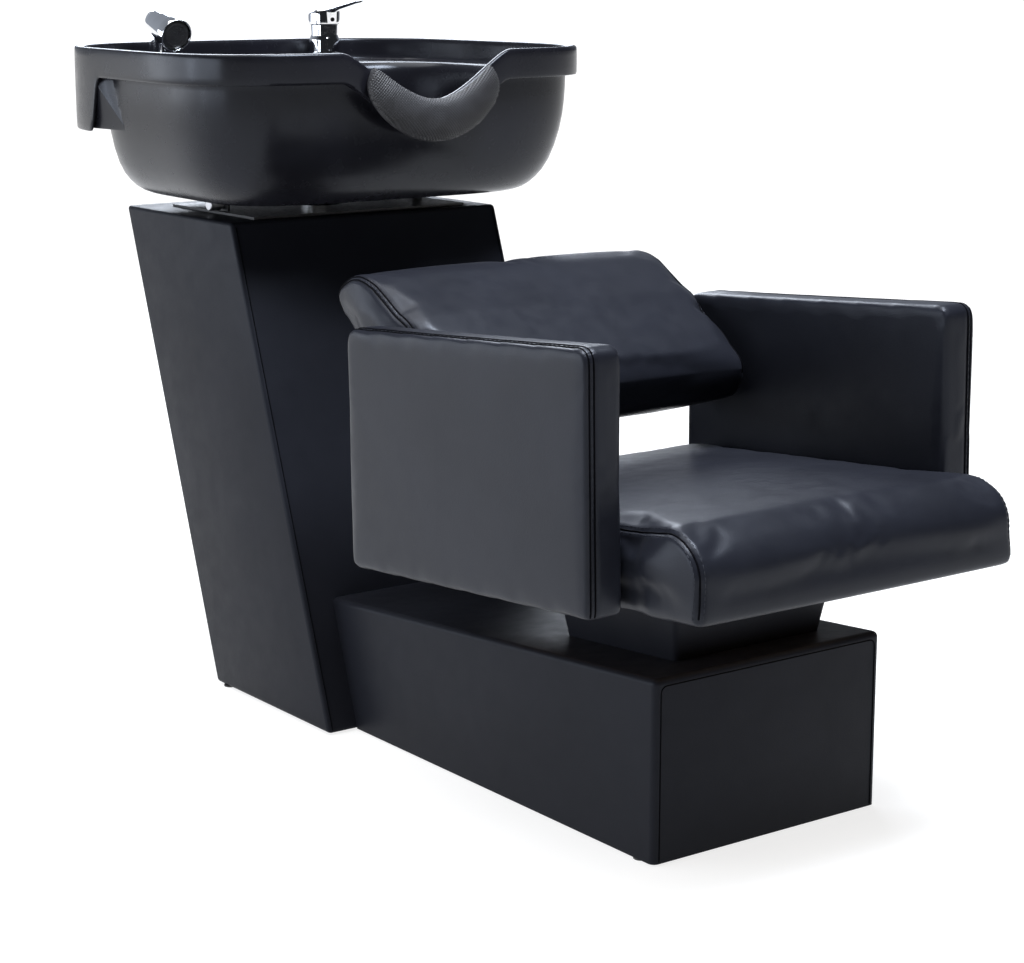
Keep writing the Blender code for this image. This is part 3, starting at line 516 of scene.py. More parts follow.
def stitch_row(bm, points, normals, pitch, length, radius):
    """Short threads that stand a little out of the leather, one after another along a row."""
    lengths = travelled(points)
    spots, facing = (np.array([tuple(v) for v in vectors]) for vectors in (points, normals))
    for centre in np.arange(pitch / 2, lengths[-1], pitch):
        ends = [reached(centre + shift, lengths, spots) for shift in (-length / 2, 0, length / 2)]
        normal = reached(centre, lengths, facing).normalized()
        axis = (ends[2] - ends[0]).normalized()
        side = axis.cross(normal).normalized()
        rows = []
        for t, thick, rise in ((-0.5, 0.45, -0.3), (-0.25, 1.0, 0.35), (0.25, 1.0, 0.35), (0.5, 0.45, -0.3)):
            middle = ends[1] + axis * (t * length) + normal * (radius * rise)
            rows.append([bm.verts.new(middle + radius * thick * (math.cos(a) * side + math.sin(a) * normal))
                         for a in angles(6)])
        for low, high in zip(rows, rows[1:]):
            skin(bm, low, high)
        bm.faces.new(rows[0][::-1])
        bm.faces.new(rows[-1])


def stitching(name, rows, pitch=0.0062, length=0.0044, radius=0.00036):
    bm = bmesh.new()
    for points, normals in rows:
        stitch_row(bm, points, normals, pitch, length, radius)
    put(from_bmesh(name, bm, THREAD, 180.0), "base")


# ---- padded pieces


def relax(obj, times):
    modified(obj, "SMOOTH", factor=0.5, iterations=times)


def points_of(mesh):
    return np.array([tuple(v.co) for v in mesh.vertices])


def set_points(obj, co):
    obj.data.vertices.foreach_set("co", co.astype(np.float32).ravel())
    obj.data.update()


def inflated(obj, cap, pressure=4.0, free=None):
    """Swells the piece with a cloth simulation and keeps each point within cap of where it was.

    free gives each point's share of that, so that a stapled edge stays where it is."""
    before = points_of(obj.data)
    cloth = obj.modifiers.new("cloth", "CLOTH")
    for key, value in CLOTH.items():
        setattr(cloth.settings, key, value)
    cloth.settings.uniform_pressure_force = pressure
    cloth.settings.effector_weights.gravity = 0.0
    cloth.point_cache.frame_start, cloth.point_cache.frame_end = 1, CLOTH_FRAMES
    scene = bpy.context.scene
    for step in range(1, CLOTH_FRAMES + 1):
        scene.frame_set(step)
    swollen = obj.evaluated_get(bpy.context.evaluated_depsgraph_get())
    move = points_of(swollen.to_mesh()) - before
    swollen.to_mesh_clear()
    obj.modifiers.clear()
    scene.frame_set(1)
    move *= np.minimum(1.0, cap / np.maximum(np.linalg.norm(move, axis=1, keepdims=True), 1e-9))
    if free is not None:
        move *= free(before)[:, None]
    set_points(obj, before + move)
    relax(obj, 3)


def fit_to(obj, node):
    """Stretches a piece that shrank while it was smoothed, until it fills the box of its node again."""
    low, high = (np.array(corner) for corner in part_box(node))
    co = points_of(obj.data)
    set_points(obj, low + (co - co.min(0)) * ((high - low) / (co.max(0) - co.min(0))))


def move_points(obj, shift):
    """Moves every vertex by shift(co, normals), which works on whole arrays."""
    co = points_of(obj.data)
    normals = np.array([tuple(n.vector) for n in obj.data.vertex_normals])
    set_points(obj, co + shift(co, normals))


def upholstered(obj, node, voxel, smoothing, cap, **cloth):
    """Makes an even mesh of the shape, swells it, and fits it to the box of its node."""
    modified(obj, "REMESH", mode="VOXEL", voxel_size=voxel, adaptivity=0.0)
    relax(obj, smoothing)
    inflated(obj, cap, **cloth)
    subdivided(obj)
    fit_to(obj, node)


def seat_bottom(y):
    return SEAT_FRONT_BOTTOM - SLOPE * (y - SEAT_FRONT_Y)


def arc(centre, radius, start, end, count):
    turns = [math.radians(start + (end - start) * i / count) for i in range(count + 1)]
    return [(centre[0] + radius * math.cos(a), centre[1] + radius * math.sin(a)) for a in turns]


def seat_outline(inset=0.0):
    """The seat's side view, from its lower front corner back, up, and forward over the rounded front."""
    low = lambda y: seat_bottom(y) + inset
    back_top = seat_bottom(SEAT_BACK_Y) + SEAT_THICK
    centre = (SEAT_FRONT_Y + SEAT_ROUND, SEAT_FRONT_BOTTOM + SEAT_THICK - SEAT_ROUND - 0.002)
    outline = [(SEAT_FRONT_Y + inset, low(SEAT_FRONT_Y)), (SEAT_BACK_Y - inset, low(SEAT_BACK_Y)),
               (SEAT_BACK_Y - inset, back_top - 0.012 - inset), (SEAT_BACK_Y - 0.012, back_top - inset)]
    return outline + arc(centre, SEAT_ROUND - inset, 88, 180, 12)


def sloped(front, back, low, high):
    """A strip that follows the underside of the seat, from low to high above it."""
    return [(front, seat_bottom(front) + low), (back, seat_bottom(back) + low),
            (back, seat_bottom(back) + high), (front, seat_bottom(front) + high)]


def stapled_below(co):
    """The seat's cover is stapled under the board, so its lower edge cannot swell."""
    return smooth_step((co[:, 2] - seat_bottom(co[:, 1]) - 0.006) / 0.030)


def make_seat():
    """The cushion swells between the arms' fronts, and its front hangs past them, a little wider."""
    seat = board("seat_cover", seat_outline(0.002), SEAT_HALF - 0.001, LEATHER)
    bevelled(seat, 0.008, 3)
    upholstered(seat, "seat_cushion", voxel=0.005, smoothing=4, cap=0.006, free=stapled_below)
    swell, bulge, flare, droop = 0.0055, 0.0020, 0.026, 0.0026

    def crown(co, normals):
        across = np.clip(1 - (co[:, 0] / (SEAT_HALF + 0.002)) ** 2, 0, 1) ** 0.6
        length = np.clip((co[:, 1] - SEAT_FRONT_Y) / (SEAT_BACK_Y - SEAT_FRONT_Y), 0, 1)
        along_seat = np.sin(np.pi * np.clip(length * 0.86 + 0.10, 0, 1)) ** 0.7
        up = np.clip(normals[:, 2], 0, 1)
        front = np.clip(-normals[:, 1], 0, 1)
        move = normals * (swell * across * along_seat * up + bulge * across * front)[:, None]
        move[:, 0] += co[:, 0] * flare * smooth_step((ARM_FRONT_Y - 0.006 - co[:, 1]) / 0.030)
        move[:, 2] -= droop * (1 - np.clip((co[:, 2] - seat_bottom(co[:, 1])) / 0.020, 0, 1))
        return move

    move_points(seat, crown)
    hold_between(seat, 0.0004 - SEAT_HALF, SEAT_HALF - 0.0004, ARM_FRONT_Y - 0.004)
    rows = []
    for side, name in ((-1, "right"), (1, "left")):
        edge = side * (SEAT_HALF - 0.0035)
        top = [(edge, y, z) for y, z in seat_outline(0.0)[3:]]
        top.append((edge + side * 0.003, SEAT_FRONT_Y + 0.001, SEAT_FRONT_BOTTOM + 0.004))
        path = path_points(top, 0.003)
        seam(f"seat_seam_{name}", seat, path, depth=0.0018, width=0.0030)
        for shift in (-0.0070, 0.0065):
            rows.append(offset_row(seat, path, Vector((side, 0, 0)), shift, Vector((0, -0.36, 0.33))))
    start, end = SEAT_FRONT_Y + SEAT_BOARD_INSET - GAP, SEAT_BACK_Y - SEAT_BOARD_INSET + GAP
    board_room = sloped(start, end, -0.02, BOARD + GAP)
    cut(seat, board("board_room", board_room, SEAT_BOARD_HALF + GAP, LEATHER))
    bracket_room = sloped(BRACKET_FRONT_Y - 0.01, BRACKET_BACK_Y + 0.01, -0.02, BOARD + GAP)
    cut(seat, board("bracket_room", bracket_room, SEAT_HALF + 0.01, LEATHER))
    shade(seat, 50)
    put(seat, "base", ["seat_cushion"])
    stitching("seat_stitching", rows)


def hold_between(obj, low, high, front=-1.0):
    """Keeps what lies behind front between two X planes, clear of the neighbours on either side."""
    for vertex in obj.data.vertices:
        if vertex.co.y > front:
            vertex.co.x = min(max(vertex.co.x, low), high)
    obj.data.update()


def offset_row(obj, path, outward, shift, middle):
    """A stitch row beside a seam on an edge. A shift below 0 puts it down the side face, towards middle."""
    moved = []
    for point in path:
        if shift > 0:
            moved.append(point - outward * shift)
        else:
            inward = middle - point
            inward.x = 0
            moved.append(point + outward * 0.004 + inward.normalized() * -shift)
    spots, normals = on_surface(obj, moved, 0.00015)
    return relaxed(spots, 3), normals


BACK_OUTLINE = [(-0.135, 0.402), (0.008, 0.530), (0.0185, 0.545), (0.014, 0.558), (-0.010, 0.5715),
                (-0.030, 0.577), (-0.060, 0.570), (-0.130, 0.535), (-0.185, 0.495), (-0.221, 0.463),
                (-0.222, 0.448), (-0.209, 0.420)]


def shrunk_outline(outline, inset):
    """A convex outline moved in by inset."""
    points = np.array(outline, float)
    edges = np.roll(points, -1, 0) - points
    edges /= np.linalg.norm(edges, axis=1, keepdims=True)
    inward = np.stack([-edges[:, 1], edges[:, 0]], axis=1)
    inward *= np.sign(np.sum(inward * (points.mean(0) - points), axis=1, keepdims=True))
    mean = inward + np.roll(inward, 1, 0)
    mean /= np.linalg.norm(mean, axis=1, keepdims=True)
    share = np.maximum(np.sum(mean * inward, axis=1, keepdims=True), 0.35)
    return [tuple(p) for p in points + mean * inset / share]


def make_backrest():
    back = board("backrest_cover", shrunk_outline(BACK_OUTLINE, 0.0015), BACK_HALF - 0.001, LEATHER)
    bevelled(back, 0.007, 4, 25.0)
    upholstered(back, "backrest_cushion", voxel=0.005, smoothing=4, cap=0.006)

    def crown(co, normals):
        across = np.clip(1 - (co[:, 0] / BACK_HALF) ** 2, 0, 1) ** 0.7
        facing = np.clip(normals[:, 2] * 0.8 - normals[:, 1] * 0.6, 0, 1)
        return normals * (0.0040 * across * facing)[:, None]

    move_points(back, crown)
    hold_between(back, 0.0004 - BACK_HALF, BACK_HALF - 0.0004)
    rows = []
    for side, name in ((-1, "right"), (1, "left")):
        for inset, place in ((0.004, "outer"), (0.013, "inner")):
            top = [(side * (BACK_HALF - inset), y, z) for y, z in BACK_OUTLINE[1:11]]
            path = path_points(top, 0.003)
            seam(f"backrest_seam_{place}_{name}", back, path, depth=0.0010, width=0.0026)
        rows.append(offset_row(back, path, Vector((side, 0, 0)), -0.0022, Vector((0, -0.10, 0.47))))
    put(back, "base", ["backrest_cushion"])
    stitching("backrest_stitching", rows)


def arm_bottom(y):
    return ARM_FRONT_BOTTOM - SLOPE * (y - ARM_FRONT_Y)


def arm_outline(inset=0.0):
    front, back = ARM_FRONT_Y + inset, ARM_BACK_Y - inset
    rise = ARM_HEIGHT - inset
    return [(front, arm_bottom(front) + inset), (back, arm_bottom(back) + inset),
            (back + ARM_LEAN, arm_bottom(back + ARM_LEAN) + rise),
            (front + ARM_LEAN, arm_bottom(front + ARM_LEAN) + rise)]


def make_arm(side, name):
    """A padded board. Two seams run round its outer face, a finger's breadth inside the edge."""
    ends = sorted((side * (ARM_INNER + 0.0012), side * (ARM_OUTER - 0.0012)))
    outline = rounded_loop(arm_outline(0.0012), (0.004, 0.014, 0.018, 0.017))
    arm = prism(f"arm_{name}_cover", outline, *ends, LEATHER)
    bevelled(arm, 0.0085, 4, 50.0)
    upholstered(arm, f"arm_{name}_upholstery", voxel=0.0045, smoothing=2, cap=0.0012, pressure=3.0)

    def settle(co, normals):
        centre_y, centre_z = -0.32, 0.415
        u = np.clip(1 - ((co[:, 1] - centre_y) / 0.217) ** 2, 0, 1)
        v = np.clip(1 - ((co[:, 2] - centre_z + SLOPE * (co[:, 1] - centre_y)) / 0.137) ** 2, 0, 1)
        out = np.clip(side * normals[:, 0], 0, 1)
        return normals * (0.0022 * (u * v) ** 0.5 * out)[:, None]

    move_points(arm, settle)
    hold_between(arm, *sorted((side * (ARM_INNER + 0.0002), side * (ARM_OUTER + 0.002))))
    front_low, _, back_top, front_top = arm_outline()
    for inset, place in ((0.0065, "outer"), (0.0120, "inner")):
        edge = side * (ARM_OUTER - inset)
        corners = [(edge, *back_top), (edge, *front_top), (edge, *front_low)]
        path = path_points(rounded_corners(corners, 0.016), 0.003)
        seam(f"arm_{name}_seam_{place}", arm, path, depth=0.0008, width=0.0026)
    outward = Vector((side * 0.0028, 0, 0))
    spots, normals = on_surface(arm, [point + outward for point in path], 0.0001)
    put(arm, "base", [f"arm_{name}_upholstery"])
    stitching(f"arm_{name}_stitching", [(relaxed(spots, 3), normals)], 0.0075, 0.0040, 0.00028)


# ---- covered boxes


def ped_front(z):
    return PED_FRONT_Y + PED_LEAN * z


def plinth_top(y):
    return PLINTH_FRONT_TOP - SLOPE * (y - PLINTH_FRONT_Y)


def leaning(y_shift, depth, low, high):
    front_low, front_high = ped_front(low) + y_shift, ped_front(high) + y_shift
    return [(front_low, low), (front_low + depth, low), (front_high + depth, high), (front_high, high)]


def make_pedestal():
    """One wrapped cover over the front, sides and top, open at the back for the rear panel."""
    cover = board("pedestal_cover", leaning(0.0, PED_DEPTH, FLOOR_Z, PED_TOP), PED_HALF, PANEL)
    bevelled(cover, 0.005, 4)
    inner = PED_HALF - BOARD
    cut(cover, board("hollow", leaning(0.0193, PED_DEPTH, -0.05, PED_TOP - BOARD), inner, PANEL))
    mouth = leaning(PED_DEPTH - 0.0193, 0.1, -0.05, PED_TOP + 0.05)
    cut(cover, board("mouth", mouth, inner, PANEL))
    cut(cover, rod(0.040, 0.55, 0.65, at(0, DRAIN_Y, 0), PANEL))
    shade(cover, 30)
    put(cover, "base",
        [f"pedestal_{part}" for part in ("front_panel", "left_side", "right_side", "top_board")])
    skin = 0.019
    panel = leaning(PED_DEPTH - skin, skin, FLOOR_Z + 0.002, PED_TOP)
    rear = board("rear_panel_cover", panel, inner - GAP, PANEL)
    bevelled(rear, 0.0028, 3)
    pipe_mouth = [(0.20, -0.02), (0.45, -0.02), (0.45, 0.085), (0.20, 0.085)]
    cut(rear, board("opening", pipe_mouth, 0.07, PANEL))
    for side in (-1, 1):
        height = PED_TOP - BOARD - 0.0125
        spot = Vector((side * (inner - 0.0125), ped_front(height) + PED_DEPTH + 0.02, height))
        cut(rear, rod(0.0066, 0.0, 0.05, at(*spot) @ along((0, -1, 0)), PANEL, 32))
    shade(rear, 30)
    put(rear, "base", ["rear_access_panel"])
    # Near-black tubes down the front corners: painted shade of the pedestal's side seams
    for side, name in ((-1, "right"), (1, "left")):
        x = side * (PED_HALF - 0.0062)
        line = [(x, ped_front(z) - 0.0001, z) for z in (FLOOR_Z + 0.003, PED_TOP - 0.006)]
        put(tube(f"pedestal_seam_{name}", path_points(line, 0.01), 0.0007), "base")


def make_plinth():
    back = ped_front(FLOOR_Z) - GAP
    meet_z = (PLINTH_FRONT_TOP - SLOPE * (PED_FRONT_Y - GAP - PLINTH_FRONT_Y)) / (1 + SLOPE * PED_LEAN)
    meet_y = ped_front(meet_z) - GAP
    outline = [(PLINTH_FRONT_Y, FLOOR_Z), (back, FLOOR_Z), (meet_y, meet_z),
               (PLINTH_FRONT_Y, PLINTH_FRONT_TOP)]
    cover = board("plinth_cover", outline, PLINTH_HALF, PANEL)
    rounded_edges(cover, 0.0075, lambda a, b: min(a.y, b.y) < 0.05 and max(a.z, b.z) > 0.01)
    inner = PLINTH_HALF - BOARD
    front_in = PLINTH_FRONT_Y + BOARD
    room = [(front_in, -0.05), (back - BOARD + 0.02, -0.05), (meet_y - BOARD, meet_z - BOARD),
            (front_in, plinth_top(front_in) - BOARD)]
    cut(cover, board("hollow", room, inner, PANEL))
    shade(cover, 30)
    put(cover, "base",
        [f"plinth_{part}" for part in ("front_panel", "left_side", "right_side", "top_board", "back_board")])
    # A near-black tube round the plinth front, inset from its edges: painted shade of its seam
    y = PLINTH_FRONT_Y - 0.0001
    inset, top = 0.0085, PLINTH_FRONT_TOP - 0.0085
    low = FLOOR_Z + 0.002
    across = PLINTH_HALF - inset
    corners = [(-across, y, low), (-across, y, top), (across, y, top), (across, y, low)]
    path = path_points(rounded_corners(corners, 0.008), 0.004)
    put(tube("plinth_front_seam", path, 0.0008), "base")


def rounded_edges(obj, width, chosen):
    """Rounds the edges that chosen(first end, second end) picks."""
    bm = bmesh.new()
    bm.from_mesh(obj.data)
    edges = [e for e in bm.edges if chosen(e.verts[0].co, e.verts[1].co)]
    bmesh.ops.bevel(bm, geom=edges, offset=width, segments=5, affect="EDGES", profile=0.5,
                    clamp_overlap=True)
    bmesh.ops.recalc_face_normals(bm, faces=bm.faces)
    bm.to_mesh(obj.data)
    bm.free()


def riser_ring(t, inset, radius):
    """A level ring of the riser, t from the plinth (0) to the seat (1), that follows the slope of both."""
    grow = RISER_FLARE * t - inset
    side = RISER_HALF + grow - radius
    front, rear = RISER_FRONT_Y - grow + radius, RISER_BACK_Y + grow - radius
    ring = []
    for quarter, centre in enumerate(((side, rear), (-side, rear), (-side, front), (side, front))):
        for x, y in arc(centre, radius, 90 * quarter, 90 * quarter + 90, 5):
            low, high = plinth_top(y) + GAP, seat_bottom(y) - GAP
            ring.append((RISER_X + x, y, low + (high - low) * t))
    return ring


def make_riser():
    """The hollow tapered block between plinth and seat."""
    levels = 10
    rings = [riser_ring(i / levels, 0.0, 0.007) for i in range(levels + 1)]
    rings += [riser_ring(t, RISER_WALL, 0.004) for t in (1.0, 0.0)]
    riser = loft("riser_cover", rings, PANEL, closed=True, angle=40)
    put(riser, "base", ["seat_riser"])


# ---- basin


def rounded_outline(shape, inset=0.0, count=288):
    """Points of a rounded rectangle at equal steps, from the middle of the front, towards +X."""
    half, front, back, taper, power = shape
    half, front, back = half - inset, front + inset, back - inset
    turn = np.linspace(-math.pi / 2, 1.5 * math.pi, 8001)
    across = np.sign(np.cos(turn)) * np.abs(np.cos(turn)) ** (2 / power)
    length = np.sign(np.sin(turn)) * np.abs(np.sin(turn)) ** (2 / power)
    x = half * across * (1 - taper * (length + 1) / 2)
    y = (front + back) / 2 + (back - front) / 2 * length
    path = np.concatenate([[0.0], np.cumsum(np.hypot(np.diff(x), np.diff(y)))])
    steps = np.arange(count) / count * path[-1]
    return np.stack([np.interp(steps, path, x), np.interp(steps, path, y)], axis=1)


RIM_POINTS = rounded_outline(RIM, 0.0, 1200)


def along_rim(part, known, wanted, value):
    """Where this part of the rim has the known coordinate at this value, its wanted coordinate."""
    part = part[np.argsort(part[:, known])]
    return float(np.interp(value, part[:, known], part[:, wanted]))


def rim_front(x):
    """The y of the rim's front edge at this x."""
    return along_rim(RIM_POINTS[RIM_POINTS[:, 1] < 0.30], 0, 1, x)


def rim_side(y):
    """The half width of the rim at this y."""
    return along_rim(RIM_POINTS[RIM_POINTS[:, 0] > 0.20], 1, 0, y)


def notch(x, y):
    """How far the rim dips for the neck, in the middle of the front edge."""
    if abs(x) >= NOTCH_HALF or y > 0.30:
        return 0.0
    return NOTCH_DEPTH * (0.5 + 0.5 * math.cos(math.pi * x / NOTCH_HALF)) ** NOTCH_POWER


def apron(y):
    """How far the rim band hangs: short round the front and sides, long behind."""
    return RIM_DROP + (APRON_DROP - RIM_DROP) * smooth_step((y - APRON_Y) / APRON_BLEND)


def basin_rows():
    """(outline, inset, level, share of the notch) of each ring, from the drain hole out and back in."""
    drain = (0.0215, DRAIN_Y - 0.0215, DRAIN_Y + 0.0215, 0.0, 2.0)
    recess = (0.0345, DRAIN_Y - 0.0345, DRAIN_Y + 0.0345, 0.0, 2.0)
    wide = (0.120, 0.280, 0.460, 0.0, 3.0)
    low, under = BASIN_BOTTOM, UNDER_DECK_Z
    base = [(drain, 0.0, low, 0.0), (drain, -0.002, low, 0.0), (wide, 0.0, low, 0.0)]
    base += [((half, front, back, taper, 4.4), 0.0, level, follow)
             for half, front, back, taper, level, follow in (
                 (0.208, 0.211, 0.503, 0.04, low, 0.0), (0.218, 0.203, 0.512, 0.04, low + 0.0002, 0.0),
                 (0.235, 0.189, 0.528, 0.04, 0.636, 0.0), (0.249, 0.177, 0.540, 0.04, 0.648, 0.0),
                 (0.264, 0.164, 0.547, 0.04, 0.668, 0.0), (0.277, 0.151, 0.553, 0.05, 0.712, 0.25))]
    base += [(BODY_TOP, 0.0008, 0.750, 0.65), (BODY_TOP, 0.0, 0.7780, 0.95), (BODY_TOP, 0.0, under, 1.0),
             (BODY_TOP, -0.004, under, 1.0)]
    band = [(RIM, inset, level, 1.0) for inset, level in (
        (WALL + 0.001, under), (WALL, under - 0.001), (WALL, "apron_in"), (WALL - 0.001, "apron"),
        (0.001, "apron"), (0.0, "apron_in"), (0.0, "middle"), (0.0, RIM_Z - 0.0045), (0.0008, RIM_Z - 0.0012),
        (0.003, RIM_Z), (0.006, RIM_Z), (0.0085, RIM_Z - 0.0014), (0.0098, RIM_Z - 0.005))]
    band += [(RIM, 0.0118, DECK_Z + 0.004, 0.93), (RIM, 0.0130, DECK_Z + 0.0010, 0.91),
             (RIM, 0.0160, DECK_Z, 0.90)]
    inside = [(OPENING, *row) for row in (
        (-0.0105, DECK_Z, 0.90), (-0.0065, DECK_Z - 0.0008, 0.90), (-0.0030, DECK_Z - 0.0030, 0.90),
        (-0.0004, DECK_Z - 0.0070, 0.88), (0.0020, DECK_Z - 0.012, 0.85), (0.0045, 0.758, 0.60),
        (0.006, 0.740, 0.35), (0.012, 0.690, 0.05), (0.019, 0.673, 0.0), (0.032, 0.6605, 0.0),
        (0.060, 0.650, 0.0), (0.110, BASIN_FLOOR + 0.0025, 0.0))]
    end = [(recess, -0.006, BASIN_FLOOR + 0.0006, 0.0), (recess, 0.0, BASIN_FLOOR, 0.0),
           (recess, 0.0, BASIN_FLOOR - 0.002, 0.0), (drain, 0.0, BASIN_FLOOR - 0.002, 0.0)]
    return base + band + inside + end


def basin_level(level, y):
    """The height of a ring at this y: a number, or a place on the band, whose depth changes with y."""
    depths = {"apron": apron(y), "apron_in": apron(y) - 0.0012, "middle": apron(y) * 0.5}
    return RIM_Z - depths[level] if level in depths else level


def make_gusset(side):
    """A wedge that closes the long apron against the body, with a sloping front edge."""
    inset = 0.0004
    front, back = rim_side(0.470) - inset, rim_side(0.510) - inset
    corners = [(front, 0.470, GUSSET_HIGH - 0.003), (back, 0.510, GUSSET_LOW), (back, 0.510, GUSSET_HIGH),
               (0.2665, 0.418, GUSSET_LOW)]
    corners += [(x, y, z) for x, y in ((0.258, 0.425), (0.233, 0.510)) for z in (GUSSET_LOW, GUSSET_HIGH)]
    bm = bmesh.new()
    bmesh.ops.convex_hull(bm, input=[bm.verts.new((side * x, y, z)) for x, y, z in corners])
    return bevelled(from_bmesh("gusset", bm, BASIN_PLASTIC), 0.0012, 3)


def make_basin():
    rings = []
    for shape, inset, level, follow in basin_rows():
        rings.append([(x, y, basin_level(level, y) - follow * notch(x, y))
                      for x, y in rounded_outline(shape, inset)])
    basin = loft("basin_shell", rings, BASIN_PLASTIC, closed=True)
    subdivided(basin)
    for side in (-1, 1):
        cut(basin, make_gusset(side), "UNION")
    for x in (MIXER_X, SPRAY_X):
        cut(basin, rod(0.0165, DECK_Z - 0.05, DECK_Z + 0.03, at(x, TAP_Y, 0), BASIN_PLASTIC))
    shade(basin, 40)
    put(basin, "basin", ["basin"])


def make_neck_pad():
    """The soft crescent over the dip in the rim, with its moulded pimples."""
    count, around, step = 200, 64, 0.0005
    rings = []
    for i in range(count + 1):
        s = -1 + 2 * i / count
        x = PAD_REACH * math.sin(s * math.pi / 2)
        full = max(0.0, 1 - s * s)
        thick, hang = 0.004 + 0.0185 * full ** 0.6, 0.006 + 0.044 * full ** 0.8
        slope = (notch(x - step, 0) - notch(x + step, 0)) / (2 * step)
        side = Vector((-slope, 0, 1)).normalized()
        base = Vector((x, rim_front(x), RIM_Z - notch(x, 0)))
        ring = []
        for a in angles(around):
            out = -0.0008 - thick * (0.5 - 0.5 * math.cos(a))
            up = 0.002 - hang * 0.5 + (hang * 0.5 + 0.001) * math.sin(a)
            ring.append(base + Vector((0, out, 0)) + side * up)
        rings.append(ring)
    pad = loft("neck_pad_cover", rings, MATERIALS["gel_rubber"])
    subdivided(pad)
    pitch = 0.0040

    def pimples(co, normals):
        spread = np.clip(-normals[:, 1] * 1.3 + 0.25, 0, 1)
        wave = np.cos(2 * np.pi * co[:, 0] / pitch) * np.cos(2 * np.pi * (co[:, 2] + 0.35 * co[:, 1]) / pitch)
        return normals * (0.0014 * spread * np.clip(wave, 0, 1))[:, None]

    move_points(pad, pimples)
    shade(pad, 180)
    put(pad, "basin", ["neck_rest_pad"])


# ---- fittings


def make_drain():
    top = BASIN_FLOOR
    place = at(0, DRAIN_Y, 0)
    profile = [(0.0185, 0.605), (0.0185, top + 0.0012), (0.0330, top + 0.0012), (0.0338, top - 0.0002),
               (0.0338, top - 0.0014), (0.0205, top - 0.0014), (0.0205, 0.600), (0.0185, 0.600)]
    put(turned("drain_ring", profile, place, CHROME, soften=0.0006), "basin", ["drain_flange"])
    profile = [(0.0, top + 0.0145), (0.006, top + 0.0145), (0.0070, top + 0.0100), (0.0255, top + 0.0065),
               (0.0285, top + 0.0018), (0.0170, top + 0.0018), (0.0165, top - 0.0100), (0.0, top - 0.0100)]
    strainer = turned("strainer_cap", profile, place, CHROME, soften=0.0012)
    for a in angles(12):
        spot = Vector((0.0185 * math.cos(a), DRAIN_Y + 0.0185 * math.sin(a), top - 0.002))
        cut(strainer, rod(0.0022, 0.0, 0.03, at(*spot), CHROME, 16))
    shade(strainer, 30)
    put(strainer, "hair_strainer", ["hair_strainer"])


def make_mixer():
    base = DECK_Z + GAP
    split = base + 0.050
    place = at(MIXER_X, TAP_Y, 0)
    profile = [(0.0, split), (0.0185, split), (0.0189, split - 0.0006), (0.0189, base + 0.034),
               (0.0208, base + 0.030), (0.0212, base + 0.012), (0.0235, base + 0.004), (0.0250, base),
               (0.0140, base), (0.0140, DECK_Z - 0.045), (0.0, DECK_Z - 0.045)]
    put(turned("mixer_column", profile, place, CHROME, soften=0.0018), "basin", ["mixer_body"])
    low = split + 0.0006
    cap = lever_cap(low)
    blade = lever_blade(Vector((MIXER_X, TAP_Y, low + 0.0150)))
    lever = union_of("mixer_handle", [cap, blade], CHROME)
    put(lever, "mixer_lever", ["mixer_lever"])


def lever_cap(low):
    """The round hood over the cartridge. Its flat top slants up towards the blade."""
    radius, bore, top, steps = 0.0220, 0.0205, low + 0.0182, 96
    slant = math.tan(LEVER_RISE)
    rings = []
    for r, height, share in ((bore, 0.0115, 0.0), (bore, 0.0006, 0.0), (bore + 0.0004, 0.0, 0.0),
                             (radius - 0.0005, 0.0, 0.0), (radius, 0.0006, 0.0), (radius, None, -0.0048),
                             (radius - 0.0005, None, -0.0024), (radius - 0.0020, None, -0.0008),
                             (radius - 0.0048, None, 0.0), (0.004, None, 0.0)):
        ring = []
        for a in angles(steps):
            x, y = r * math.cos(a), r * math.sin(a)
            ring.append((MIXER_X + x, TAP_Y + y, top + share - y * slant if height is None else low + height))
        rings.append(ring)
    return loft("cap", rings, CHROME, angle=35)


def lever_blade(start):
    """The thin blade, whose top runs on from the slanted top of the cap."""
    rings = []
    for t in np.linspace(0, 1, 13):
        out = 0.004 + (LEVER_LENGTH - 0.004) * t
        half, thick = 0.0105 - 0.0040 * t, 0.0034 - 0.0022 * t
        end = math.sqrt(max(0.02, 1 - max(0.0, (t - 0.9) / 0.1) ** 2))
        middle = start + Vector((0, -out, out * math.tan(LEVER_RISE)))
        rings.append([middle + Vector((half * end * math.cos(a), 0, thick * end * math.sin(a)))
                      for a in angles(32)])
    return loft("blade", rings, CHROME, angle=35)


